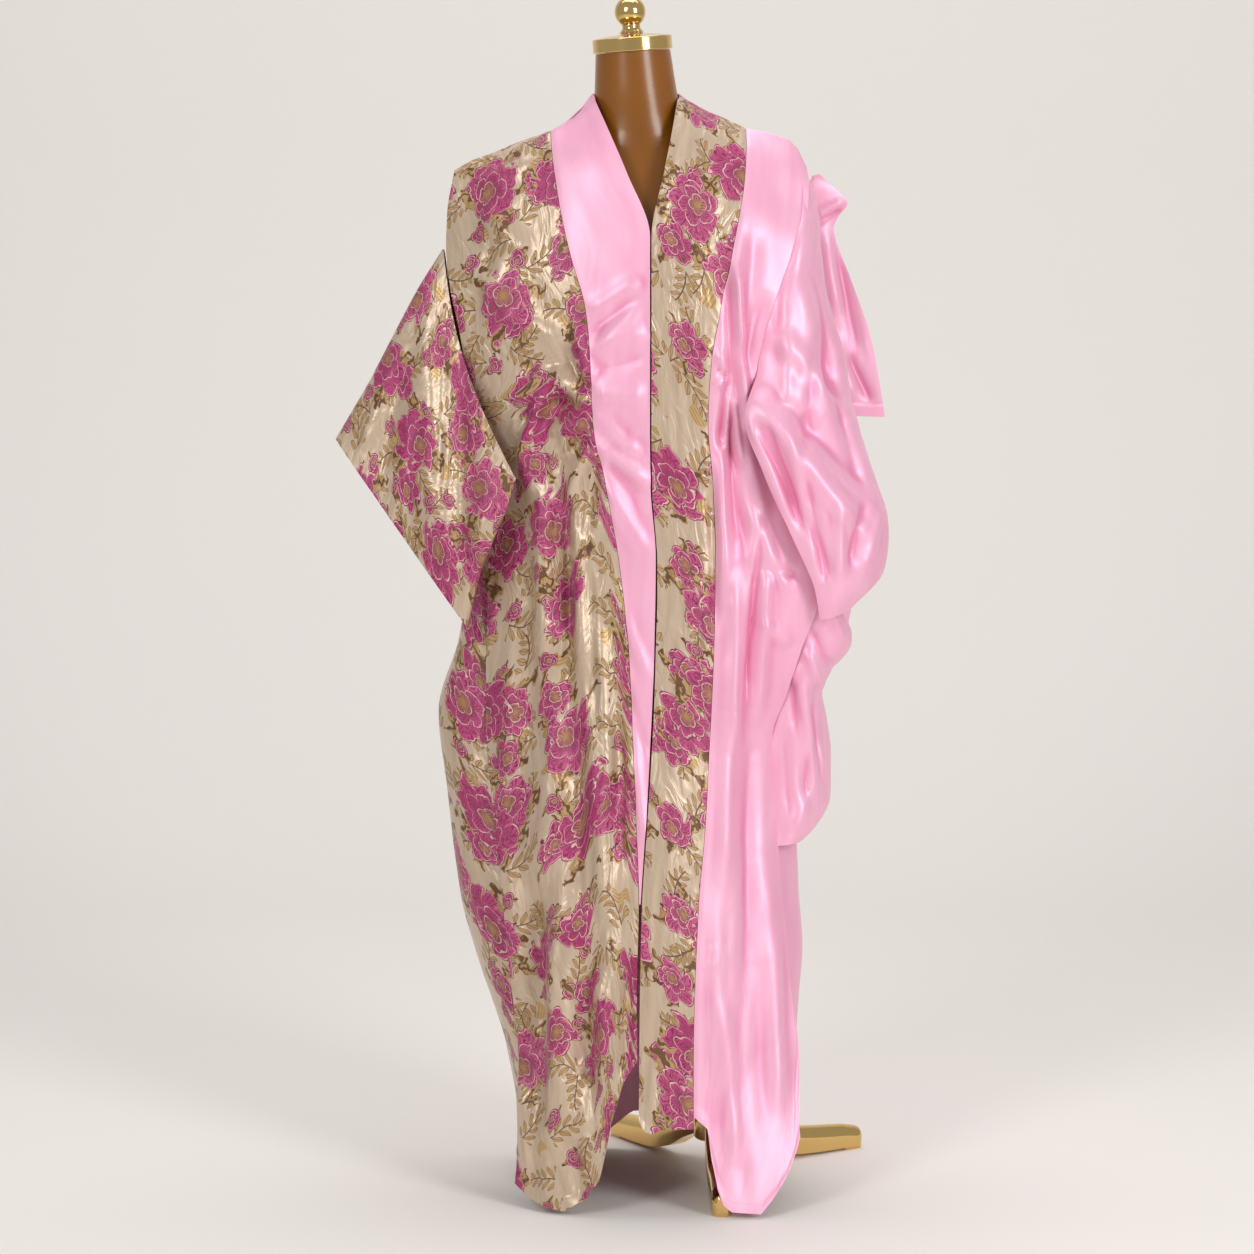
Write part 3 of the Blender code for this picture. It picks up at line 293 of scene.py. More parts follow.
SATIN_SLEEVE = (
    (1.396, 1.398, 0.2240, 0.034, 0.2260, 0.037, 0.2290, 0.040, 0.2330, 0.043),
    (1.372, 1.372, 0.2212, 0.038, 0.2350, 0.041, 0.2500, 0.044, 0.2620, 0.047),
    (1.357, 1.357, 0.2207, 0.040, 0.2400, 0.043, 0.2560, 0.046, 0.2730, 0.049),
    (1.322, 1.322, 0.2209, 0.044, 0.2350, 0.047, 0.2450, 0.050, 0.2540, 0.053),
    (1.253, 1.253, 0.2280, 0.052, 0.2450, 0.055, 0.2620, 0.058, 0.2790, 0.061),
    (1.173, 1.173, 0.2380, 0.055, 0.2620, 0.058, 0.2860, 0.061, 0.3070, 0.064),
    (1.100, 1.098, 0.2480, 0.055, 0.2780, 0.058, 0.3020, 0.061, 0.3220, 0.064),
    (1.063, 1.060, 0.2540, 0.055, 0.2840, 0.058, 0.3080, 0.061, 0.3280, 0.064),
)

# Folds, each a soft ridge, or a trough where its height is below zero. Columns: place across and level of one
# end, the same of the other, half width, height
FOLD_COLUMNS = ("x0", "z0", "x1", "z1", "width", "height")
BROCADE_FRONT_FOLDS = (
    (-0.092, 1.120, -0.150, 1.060, 0.012, -0.010),
    (-0.092, 1.100, -0.120, 1.010, 0.011, 0.008),
    (-0.100, 1.150, -0.185, 1.140, 0.012, -0.008),
    (-0.110, 1.175, -0.190, 1.210, 0.014, 0.007),
    (-0.175, 1.080, -0.160, 0.960, 0.014, 0.010),
    (-0.145, 1.000, -0.150, 0.700, 0.016, 0.008),
    (-0.115, 0.980, -0.110, 0.560, 0.014, -0.007),
    (-0.080, 0.900, -0.075, 0.480, 0.014, 0.007),
    (-0.185, 0.820, -0.178, 0.360, 0.014, -0.008),
    (-0.105, 0.520, -0.120, 0.060, 0.018, 0.010),
    (-0.155, 0.480, -0.150, 0.080, 0.015, -0.008),
    (-0.052, 0.420, -0.060, 0.150, 0.012, 0.010),
    (-0.030, 0.360, -0.032, 0.180, 0.010, -0.008),
    (-0.200, 1.360, -0.215, 1.200, 0.020, 0.005),
)
SATIN_BAND_FOLDS = (
    (-0.070, 1.172, -0.012, 1.230, 0.012, 0.005),
    (-0.078, 1.080, -0.010, 1.020, 0.010, 0.006),
    (-0.070, 1.040, -0.006, 0.960, 0.010, -0.005),
)
SATIN_FRONT_FOLDS = (
    (0.100, 1.110, 0.120, 1.330, 0.014, 0.008),
    (0.105, 1.090, 0.160, 1.250, 0.013, -0.007),
    (0.100, 1.080, 0.118, 0.900, 0.012, -0.008),
    (0.110, 1.030, 0.150, 0.850, 0.013, 0.008),
    (0.108, 0.760, 0.100, 0.420, 0.013, 0.006),
    (0.135, 0.640, 0.125, 0.240, 0.013, -0.006),
    (0.160, 0.480, 0.170, 0.120, 0.013, 0.006),
    (0.096, 0.300, 0.120, 0.060, 0.012, 0.006),
)
DRAPE_FOLDS = (
    (0.130, 1.110, 0.300, 0.900, 0.014, 0.010),
    (0.150, 1.130, 0.320, 0.960, 0.014, -0.010),
    (0.165, 1.200, 0.300, 1.030, 0.014, 0.009),
    (0.200, 1.300, 0.270, 1.080, 0.013, -0.008),
    (0.140, 1.060, 0.250, 0.850, 0.012, -0.010),
    (0.225, 1.340, 0.290, 1.060, 0.012, 0.007),
)
FALL_FOLDS = (
    (0.200, 0.740, 0.240, 0.560, 0.011, 0.007),
    (0.225, 0.700, 0.215, 0.520, 0.010, -0.007),
)
BACK_FOLDS = (
    (-0.225, 0.940, -0.230, 0.280, 0.021, -0.012),
    (-0.150, 1.180, -0.160, 0.090, 0.021, 0.013),
    (-0.090, 1.200, -0.095, 0.070, 0.021, -0.012),
    (0.045, 1.200, 0.052, 0.090, 0.021, 0.013),
    (0.110, 1.170, 0.115, 0.090, 0.019, -0.012),
    (0.165, 0.980, 0.170, 0.120, 0.017, 0.010),
)
SLEEVE_FOLDS = (
    (-0.300, 1.200, -0.300, 0.880, 0.016, 0.009),
    (-0.260, 1.120, -0.260, 0.860, 0.013, -0.009),
    (-0.340, 1.150, -0.370, 0.980, 0.015, -0.008),
)

# Finer creases, in the same columns as the folds
BUST_CREASES = (
    (-0.079, 1.090, -0.139, 1.135, 0.010, 0.006),
    (-0.079, 1.081, -0.150, 1.097, 0.009, -0.006),
    (-0.082, 1.070, -0.143, 1.054, 0.009, 0.006),
    (-0.082, 1.057, -0.134, 1.002, 0.009, -0.006),
    (-0.079, 1.043, -0.115, 0.954, 0.009, 0.005),
    (-0.074, 1.029, -0.089, 0.907, 0.009, -0.005),
    (-0.085, 1.104, -0.123, 1.178, 0.010, -0.005),
    (-0.082, 1.113, -0.102, 1.205, 0.010, 0.005),
    (-0.143, 1.111, -0.177, 1.002, 0.011, 0.008),
    (-0.163, 1.090, -0.188, 1.002, 0.009, -0.006),
    (-0.244, 1.273, -0.177, 1.192, 0.014, 0.004),
    (-0.230, 1.367, -0.163, 1.286, 0.016, 0.004),
    (-0.203, 1.340, -0.244, 1.192, 0.012, -0.003),
    (-0.149, 1.420, -0.243, 1.380, 0.012, 0.003),
)
BROCADE_SKIRT_CREASES = (
    (-0.142, 0.993, -0.139, 0.722, 0.013, 0.006),
    (-0.122, 0.993, -0.114, 0.776, 0.011, -0.006),
    (-0.102, 0.966, -0.089, 0.708, 0.011, 0.006),
    (-0.085, 0.885, -0.074, 0.667, 0.010, -0.005),
    (-0.163, 0.885, -0.166, 0.612, 0.013, -0.005),
    (-0.187, 0.831, -0.191, 0.530, 0.014, 0.005),
    (-0.068, 0.803, -0.055, 0.557, 0.010, 0.005),
    (-0.123, 0.694, -0.150, 0.419, 0.014, 0.006),
    (-0.096, 0.667, -0.103, 0.364, 0.013, -0.006),
    (-0.069, 0.612, -0.063, 0.378, 0.011, 0.006),
    (-0.044, 0.694, -0.039, 0.447, 0.009, -0.005),
    (-0.164, 0.475, -0.156, 0.197, 0.014, -0.006),
    (-0.129, 0.419, -0.124, 0.071, 0.014, 0.007),
    (-0.096, 0.364, -0.083, 0.127, 0.012, -0.006),
    (-0.069, 0.336, -0.062, 0.169, 0.010, 0.006),
    (-0.144, 0.141, -0.135, 0.001, 0.012, 0.005),
    (-0.107, 0.113, -0.097, 0.015, 0.010, -0.005),
    (-0.172, 0.169, -0.165, 0.029, 0.010, 0.005),
)
SATIN_BAND_CREASES = (
    (-0.084, 1.215, -0.012, 1.262, 0.012, 0.0040),
    (-0.084, 1.190, -0.014, 1.236, 0.012, -0.0035),
    (-0.082, 1.162, -0.004, 1.196, 0.013, 0.0050),
    (-0.082, 1.136, -0.004, 1.158, 0.009, -0.0030),
    (-0.080, 1.104, -0.002, 1.104, 0.018, 0.0060),
    (-0.079, 1.066, -0.020, 1.048, 0.009, -0.0025),
    (-0.076, 1.040, -0.002, 0.982, 0.010, 0.0060),
    (-0.070, 1.022, -0.006, 0.940, 0.008, -0.0025),
    (-0.066, 0.990, -0.002, 0.890, 0.009, 0.0040),
    (-0.063, 0.962, -0.014, 0.880, 0.008, 0.003),
    (-0.044, 0.826, -0.001, 0.716, 0.009, 0.003),
    (-0.036, 0.716, -0.001, 0.606, 0.009, -0.003),
    (-0.025, 0.633, -0.006, 0.495, 0.008, 0.003),
)
SATIN_FRONT_CREASES = (
    (0.112, 1.285, 0.123, 1.150, 0.0065, 0.0100),
    (0.121, 1.170, 0.131, 1.050, 0.0075, 0.0090),
    (0.106, 1.265, 0.107, 1.120, 0.0080, -0.0070),
    (0.140, 1.330, 0.128, 1.180, 0.0140, -0.0030),
    (0.104, 1.125, 0.092, 1.030, 0.0045, -0.0050),
    (0.105, 1.122, 0.103, 1.020, 0.0045, 0.0050),
    (0.106, 1.120, 0.113, 1.010, 0.0045, -0.0050),
    (0.108, 1.115, 0.124, 1.000, 0.0050, 0.0045),
    (0.085, 1.115, 0.105, 1.125, 0.0040, 0.0030),
    (0.087, 1.140, 0.104, 1.128, 0.0040, -0.0030),
    (0.088, 1.165, 0.104, 1.132, 0.0050, 0.0030),
    (0.150, 0.930, 0.128, 0.700, 0.0060, -0.0050),
    (0.160, 0.900, 0.142, 0.640, 0.0100, 0.0050),
    (0.130, 0.960, 0.190, 0.830, 0.0090, 0.0040),
    (0.140, 0.870, 0.205, 0.860, 0.0080, -0.0030),
    (0.150, 0.800, 0.190, 0.760, 0.0090, 0.0035),
    (0.107, 1.070, 0.133, 0.879, 0.011, -0.006),
    (0.097, 1.057, 0.100, 0.825, 0.010, 0.006),
    (0.128, 1.043, 0.155, 0.934, 0.010, 0.005),
    (0.083, 1.002, 0.089, 0.770, 0.008, -0.005),
    (0.115, 0.879, 0.113, 0.604, 0.010, 0.005),
    (0.142, 0.825, 0.133, 0.687, 0.008, -0.004),
    (0.107, 0.779, 0.097, 0.423, 0.012, 0.002),
    (0.134, 0.697, 0.138, 0.368, 0.012, -0.002),
    (0.114, 0.533, 0.125, 0.271, 0.013, 0.002),
    (0.091, 0.423, 0.090, 0.118, 0.011, 0.002),
    (0.142, 0.382, 0.152, 0.104, 0.013, -0.002),
    (0.169, 0.368, 0.177, 0.118, 0.010, 0.002),
    (0.115, 0.202, 0.128, 0.020, 0.011, -0.002),
)
PRESSED_CREASES = (
    (0.083, 0.678, 0.153, 0.678, 0.003, -0.0012),
    (0.080, 0.615, 0.158, 0.618, 0.003, -0.0012),
    (0.072, 0.471, 0.175, 0.475, 0.003, -0.0014),
    (0.067, 0.365, 0.181, 0.371, 0.003, -0.0012),
    (0.067, 0.336, 0.184, 0.340, 0.003, 0.0012),
)
WING_CREASES = (
    (0.125, 1.085, 0.188, 0.930, 0.0080, 0.0070),
    (0.150, 1.080, 0.205, 0.930, 0.0080, -0.0050),
    (0.190, 1.270, 0.182, 1.060, 0.0090, 0.0035),
    (0.182, 1.070, 0.232, 0.850, 0.0090, 0.0050),
    (0.230, 1.200, 0.205, 1.020, 0.0110, -0.0035),
    (0.205, 1.000, 0.240, 0.840, 0.0080, -0.0050),
    (0.255, 0.960, 0.255, 0.850, 0.0080, 0.0050),
    (0.290, 0.960, 0.268, 0.870, 0.0080, -0.0050),
    (0.315, 0.950, 0.285, 0.860, 0.0080, 0.0045),
    (0.199, 1.368, 0.208, 1.195, 0.010, 0.003),
    (0.186, 1.328, 0.173, 1.181, 0.009, -0.004),
    (0.219, 1.301, 0.254, 1.074, 0.010, -0.004),
    (0.267, 1.074, 0.309, 0.925, 0.010, 0.005),
    (0.232, 1.370, 0.285, 1.120, 0.010, 0.005),
    (0.222, 1.340, 0.262, 1.160, 0.009, -0.005),
    (0.245, 1.240, 0.300, 1.040, 0.011, 0.005),
    (0.232, 1.180, 0.285, 0.990, 0.010, -0.005),
    (0.262, 1.180, 0.325, 0.990, 0.010, -0.005),
    (0.215, 1.260, 0.235, 1.140, 0.009, 0.005),
)
FALL_CREASES = (
    (0.228, 0.845, 0.268, 0.755, 0.0070, 0.0070),
    (0.245, 0.835, 0.281, 0.775, 0.0060, -0.0060),
    (0.215, 0.790, 0.255, 0.715, 0.0070, -0.0060),
    (0.212, 0.760, 0.236, 0.690, 0.0070, 0.0060),
    (0.190, 0.720, 0.204, 0.640, 0.0080, -0.0040),
    (0.205, 0.710, 0.226, 0.560, 0.0090, 0.0080),
    (0.222, 0.690, 0.236, 0.560, 0.0070, -0.0070),
    (0.183, 0.650, 0.190, 0.520, 0.0090, -0.0030),
    (0.226, 0.580, 0.195, 0.500, 0.0090, 0.0050),
)
FLAP_CREASES = (
    (0.226, 1.326, 0.268, 1.352, 0.005, -0.004),
    (0.226, 1.340, 0.270, 1.362, 0.007, 0.004),
    (0.240, 1.330, 0.262, 1.200, 0.010, 0.005),
    (0.256, 1.300, 0.290, 1.150, 0.009, -0.004),
    (0.256, 1.180, 0.284, 1.080, 0.010, 0.005),
    (0.272, 1.150, 0.310, 1.080, 0.007, -0.004),
)
SLEEVE_CREASES = (
    (-0.295, 1.240, -0.330, 1.050, 0.012, 0.005),
    (-0.285, 1.180, -0.290, 0.960, 0.010, -0.005),
    (-0.270, 1.080, -0.285, 0.880, 0.011, 0.005),
    (-0.240, 1.050, -0.255, 0.860, 0.010, -0.004),
    (-0.350, 1.140, -0.400, 1.020, 0.011, 0.005),
    (-0.325, 1.080, -0.350, 0.930, 0.010, 0.004),
    (-0.220, 1.000, -0.235, 0.880, 0.009, 0.004),
)
BACK_CREASES = (
    (-0.190, 1.080, -0.195, 0.500, 0.012, 0.005),
    (-0.120, 0.900, -0.128, 0.250, 0.012, -0.005),
    (-0.060, 1.000, -0.062, 0.300, 0.012, 0.005),
    (0.010, 1.100, 0.014, 0.400, 0.012, -0.004),
    (0.080, 0.950, 0.084, 0.200, 0.012, 0.005),
    (0.140, 0.850, 0.142, 0.150, 0.011, -0.004),
    (-0.200, 1.300, -0.080, 1.220, 0.014, -0.004),
    (0.180, 1.300, 0.070, 1.210, 0.014, -0.004),
)

hub_low, hub_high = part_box("stand_hub")
PLACE = np.array([(hub_low[0] + hub_high[0]) / 2 - POLE_FOOT_X, (hub_low[1] + hub_high[1]) / 2, 0.0])


def smooth_columns(table, places):
    """Every column of the table at fractional row numbers, on a curve through its rows that never overshoots them."""
    rows = np.asarray(table, float)
    last = len(rows) - 1
    slopes = np.empty_like(rows)
    before, after = rows[1:-1] - rows[:-2], rows[2:] - rows[1:-1]
    both = before * after
    slopes[1:-1] = np.where(both > 0, 2 * both / np.where(both > 0, before + after, 1), 0)
    slopes[0] = rows[1] - rows[0]
    slopes[-1] = rows[-1] - rows[-2]
    places = np.clip(places, 0, last)
    lower = np.minimum(places.astype(int), last - 1)
    t = (places - lower)[..., None]
    start, end = rows[lower], rows[lower + 1]
    leave, arrive = slopes[lower], slopes[lower + 1]
    return (
        (2 * t**3 - 3 * t**2 + 1) * start
        + (t**3 - 2 * t**2 + t) * leave
        + (3 * t**2 - 2 * t**3) * end
        + (t**3 - t**2) * arrive
    )


def even_places(table, level_column, count):
    """Fractional row numbers that step down the table by even drops, with closer steps over the shoulder."""
    dense = np.linspace(0, len(table) - 1, 600)
    level = smooth_columns(table, dense)[:, level_column]
    step = np.maximum(np.abs(np.diff(level)), 0.008 * 600 / len(table) / 60)
    gone = np.concatenate([[0], np.cumsum(step)])
    return np.interp(np.linspace(0, gone[-1], count + 1), gone, dense)


def place_of_level(table, level_column, levels):
    """The fractional row number at which the table's level comes down to each given level."""
    dense = np.linspace(0, len(table) - 1, 1200)
    level = np.minimum.accumulate(smooth_columns(table, dense)[:, level_column])
    return np.interp(levels, level[::-1], dense[::-1])


def hemmed_places(table, level_column, count, hem_levels):
    """Row numbers for each level and column. Lower down they stretch so that the last one lies on the hem."""
    places = even_places(table, level_column, count)[:, None]
    ease = place_of_level(table, level_column, HEM_EASE_LEVEL)
    ends = place_of_level(table, level_column, hem_levels)[None, :]
    last = places[-1, 0]
    low = ease + (ends - ease) * (places - ease) / (last - ease)
    return np.where(places < np.minimum(ease, ends), places, low)


FORM_CURVE = smooth_columns(FORM_SECTIONS, np.linspace(0, len(FORM_SECTIONS) - 1, 600))


def form_half_sizes(levels):
    """Half width, half depth and shift of the dress form at these levels, on a smooth curve through its sections."""
    return [np.interp(levels, FORM_CURVE[:, 0], FORM_CURVE[:, column]) for column in (1, 2, 3)]


def pole_x(levels):
    return POLE_FOOT_X + POLE_LEAN * levels


def clear_of_form(points):
    """The points, with any that come too near the dress form moved out from its axis."""
    moved = points.copy()
    wide, deep, shift = form_half_sizes(points[..., 2])
    x = points[..., 0] - pole_x(points[..., 2])
    y = points[..., 1] - shift
    share = np.sqrt((x / (wide + CLEAR_OF_FORM)) ** 2 + (y / (deep + CLEAR_OF_FORM)) ** 2)
    grow = np.where((share < 1) & (points[..., 2] > FORM_BOTTOM), 1 / np.maximum(share, 0.3), 1)
    moved[..., 0] += x * (grow - 1)
    moved[..., 1] += y * (grow - 1)
    return moved


def grid_normals(points, outward):
    """Unit normals of a grid, turned to the side on which the outward hint lies."""
    down = np.gradient(points, axis=0)
    across = np.gradient(points, axis=1)
    normals = np.cross(across, down)
    normals /= np.maximum(np.linalg.norm(normals, axis=2, keepdims=True), 1e-9)
    if np.einsum("ijk,ijk->", normals, outward) < 0:
        normals = -normals
    return normals


def away_from_pole(points):
    away = points.copy()
    away[..., 0] -= pole_x(points[..., 2])
    away[..., 2] = 0
    return away


def fold_heights(points, folds):
    """The height of all folds at each point: a bell across each fold line, fading to nothing at its ends."""
    height = np.zeros(points.shape[:2])
    for x0, z0, x1, z1, width, rise in folds:
        run = np.array([x1 - x0, z1 - z0])
        length = np.linalg.norm(run)
        offset = points[..., [0, 2]] - np.array([x0, z0])
        along = offset @ run / length**2
        side = np.abs(offset @ np.array([-run[1], run[0]])) / length
        past = np.maximum(np.abs(along - 0.5) - 0.5, 0) * length
        fade = np.clip(np.sin(np.pi * np.clip(along, 0.02, 0.98)) * 1.6, 0, 1)
        height += rise * fade * np.exp(-((side / width) ** 2) - (past / width) ** 2)
    return height


def folded(points, folds, facing=None):
    """The grid moved along its normals by its folds, only where it faces the given way if there is one."""
    normals = grid_normals(points, away_from_pole(points))
    height = fold_heights(points, folds)
    if facing is not None:
        height = height * np.clip(normals[..., 1] * facing * 2, 0, 1)
    return points + normals * height[..., None]


def arcs(points, axis):
    """Running length along one way of a grid, from its first row or column."""
    steps = np.linalg.norm(np.diff(points, axis=axis), axis=-1)
    start = np.zeros_like(np.take(steps, [0], axis=axis))
    return np.concatenate([start, np.cumsum(steps, axis=axis)], axis=axis)


def small_waves(points, seed, longest, height, steps=6):
    """Sum of seeded sine waves through the cloth's place, each shorter and lower than the last, longer up and down
    than across."""
    chance = np.random.default_rng(seed)
    total = np.zeros(points.shape[:-1])
    for step in range(steps):
        length = longest * 0.80**step
        way = chance.normal(size=3) * (1.0, 0.7, 0.35)
        way /= np.linalg.norm(way)
        total += 0.80**step * np.sin(points @ way * 2 * math.pi / length + chance.uniform(0, 2 * math.pi))
    return total * height / 2


def deeper(folds, factor):
    """The same folds with their heights multiplied."""
    return tuple((*fold[:5], fold[5] * factor) for fold in folds)


def moved_out(points, height):
    """The grid moved along its normals by this height."""
    return points + grid_normals(points, away_from_pole(points))[...] * height[..., None]


def front_grid(table, hem, columns, part, folds):
    """Points of a front, either its band or the panel outside it. Across each row the place moves evenly from the
    centre edge to the outer edge, and the depth falls back by a power of that share."""
    shares = np.linspace(0, 1, columns + 1)
    hem_levels = np.interp(shares, *zip(*hem))
    places = hemmed_places(table, 0, LEVELS_FRONT, hem_levels)
    row = dict(zip(FRONT_COLUMNS, np.moveaxis(smooth_columns(table, places), -1, 0)))
    width = row["out_x"] - row["in_x"]
    seam = (row["seam_x"] - row["in_x"]) / width
    gap = SEAM / np.abs(width)
    if part == "band":
        share = shares * (seam - gap)
    else:
        share = seam + gap + shares * (1 - seam - gap)
    x = row["in_x"] + share * width
    z = row["in_z"] + (row["out_z"] - row["in_z"]) * share
    y = row["in_y"] + (row["out_y"] - row["in_y"]) * share**2.2
    over = np.clip(1 - places / 2.6, 0, 1) ** 2
    top = np.interp(x[0], *zip(*FRONT_RIDGE))
    z = z + (top - z[0])[None, :] * over
    points = clear_of_form(np.stack([x, y, z], axis=-1))
    return folded(points, folds, facing=-1)


def bezier(handles, shares):
    """A curve with four handles, each an array over the rows, at shares over the columns."""
    u = shares[None, :]
    a, b, c, d = (h[:, None] if h.ndim == 1 else h for h in handles)
    return (1 - u) ** 3 * a + 3 * (1 - u) ** 2 * u * b + 3 * (1 - u) * u**2 * c + u**3 * d


def back_grid(table, hem, columns):
    """Points of a back. Each row is a curve in plan from the outer edge to the centre back."""
    shares = np.linspace(0, 1, columns + 1)
    places = hemmed_places(table, 1, LEVELS_BACK, np.interp(shares, *zip(*hem)))
    row = dict(zip(BACK_COLUMNS, np.moveaxis(smooth_columns(table, places), -1, 0)))
    x = bezier([row[f"x{i}"] for i in range(4)], shares)
    y = bezier([row[f"y{i}"] for i in range(4)], shares)
    z = row["out_z"] + (row["in_z"] - row["out_z"]) * shares[None, :]
    over = np.clip(1 - places / 2.6, 0, 1) ** 2
    top = np.interp(x[0], *zip(*BACK_RIDGE))
    z = z + (top - z[0])[None, :] * over
    points = clear_of_form(np.stack([x, y, z], axis=-1))
    return folded(points, BACK_FOLDS + BACK_CREASES, facing=1)


def drape_grid(table, levels, columns, folds):
    """Points of a draped piece. Each row is a curve in plan from its inner edge round to its far edge."""
    shares = np.linspace(0, 1, columns + 1)
    row = dict(zip(DRAPE_COLUMNS, smooth_columns(table, np.linspace(0, len(table) - 1, levels + 1)).T))
    x = bezier([row[f"x{i}"] for i in range(4)], shares)
    y = bezier([row[f"y{i}"] for i in range(4)], shares)
    z = row["in_z"][:, None] + (row["out_z"] - row["in_z"])[:, None] * shares[None, :] ** 1.2
    return folded(np.stack([x, y, z], axis=-1), folds, facing=-1)


def sleeve_grid():
    """Points of the flat sleeve: rings between its top fold and its lower fold, bowed outwards at the armhole."""
    turn = np.arange(SLEEVE_AROUND) * 2 * math.pi / SLEEVE_AROUND
    places = np.linspace(0, len(BROCADE_SLEEVE) - 1, SLEEVE_LEVELS + 1)
    row = dict(zip(SLEEVE_COLUMNS, smooth_columns(BROCADE_SLEEVE, places).T[:, :, None]))
    down = (1 - np.cos(turn))[None, :] / 2
    x = row["top_x"] + (row["low_x"] - row["top_x"]) * down + row["bow"] * np.sin(math.pi * down)
    x = x + np.where(np.sin(turn) > 0, row["back_bow"] * np.sin(math.pi * down**2), 0)
    z = row["top_z"] + (row["low_z"] - row["top_z"]) * down
    middle = row["top_y"] + (row["low_y"] - row["top_y"]) * down**2
    side = np.sin(turn)[None, :]
    behind = row["behind"] * (1 - 0.9 * down**2)
    y = middle + np.where(side < 0, row["before"] * side, behind * side)
    points = np.stack([x, y, z], axis=-1)
    height = fold_heights(points, SLEEVE_FOLDS + SLEEVE_CREASES) * np.clip(-side * 2, 0, 1)
    points[..., 1] -= height
    return points


def neck_band_grid(around=14, across=3):
    """Points of the band behind the neck, from the backs' top edges in to the neck itself."""
    half = np.linspace(0.5, 1, around // 2 + 1)
    outer = []
    for table, ends in ((BROCADE_BACK, half), (SATIN_BACK, half[::-1][1:])):
        handles = dict(zip(BACK_COLUMNS, table[0]))
        x = bezier([np.array([handles[f"x{i}"]]) for i in range(4)], ends)[0]
        y = bezier([np.array([handles[f"y{i}"]]) for i in range(4)], ends)[0]
        outer.append(np.stack([x, y, np.interp(x, *zip(*BACK_RIDGE))], axis=-1))
    outer = np.concatenate(outer)
    outer[:, 1] = np.maximum(outer[:, 1] - 2.4 * WALL, 0.0012)
    turn = np.linspace(math.pi, 0, len(outer))
    level = 1.508
    wide, deep, _ = form_half_sizes(level)
    inner = np.stack(
        [
            pole_x(level) + (wide + CLEAR_OF_FORM) * np.cos(turn),
            (deep + CLEAR_OF_FORM) * np.sin(turn) + 0.0012,
            np.full(len(turn), level),
        ],
        axis=-1,
    )
    share = np.linspace(0, 1, across + 1)[:, None, None]
    points = inner[None] + (outer - inner)[None] * share
    points[..., 2] -= 0.004 * np.sin(math.pi * share[..., 0])
    return clear_of_form(points)


# Meshes


def mesh_piece(name, points, faces, finish, nodes, uvs=None, painted_trough_shade=None):
    """A piece from points, four-cornered faces and the place of each corner in the cloth, facing outwards."""
    corners = points[faces]
    volume = np.einsum("ij,ij->", corners[:, 0], np.cross(corners[:, 1], corners[:, 2]))
    volume += np.einsum("ij,ij->", corners[:, 0], np.cross(corners[:, 2], corners[:, 3]))
    if volume < 0:
        faces = faces[:, ::-1]
        uvs = None if uvs is None else uvs[:, ::-1]
    mesh = bpy.data.meshes.new(name)
    mesh.vertices.add(len(points))
    mesh.vertices.foreach_set("co", (points + PLACE).ravel())
    mesh.loops.add(faces.size)
    mesh.loops.foreach_set("vertex_index", faces.ravel().astype(np.int32))
    mesh.polygons.add(len(faces))
    mesh.polygons.foreach_set("loop_start", np.arange(0, faces.size, 4, dtype=np.int32))
    if uvs is not None:
        mesh.uv_layers.new(name="cloth").uv.foreach_set("vector", uvs.reshape(-1, 2).ravel())
    # Each point's share of painted shade in the fold troughs, read by the satin
    if painted_trough_shade is not None:
        mesh.attributes.new("painted_trough_shade", "FLOAT", "POINT").data.foreach_set("value", painted_trough_shade.astype(np.float32))
    mesh.update(calc_edges=True)
    mesh.materials.append(finish)
    mesh.shade_smooth()
    mesh.set_sharp_from_angle(angle=math.radians(50))
    item = bpy.data.objects.new(name, mesh)
    bpy.context.scene.collection.objects.link(item)
    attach(item, "root")
    if nodes:
        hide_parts(*nodes)
    return item


def trough_shade_shares(points):
    """How deep each point lies in a trough, from 0 to 1: its distance behind the mean of its row nearby, for painted
    shade.
    """
    step = arcs(points, 1)[:, -1].mean() / (points.shape[1] - 1)
    reach = max(int(round(TROUGH_REACH / step)), 1)
    wide = np.pad(points, ((0, 0), (reach, reach), (0, 0)), mode="reflect", reflect_type="odd")
    total = np.cumsum(np.pad(wide, ((0, 0), (1, 0), (0, 0))), axis=1)
    mean = (total[:, 2 * reach + 1 :] - total[:, : -2 * reach - 1]) / (2 * reach + 1)
    normals = grid_normals(points, away_from_pole(points))
    behind = ((mean - points) * normals).sum(axis=-1)
    return np.clip(behind / TROUGH_DEPTH, 0, 1)


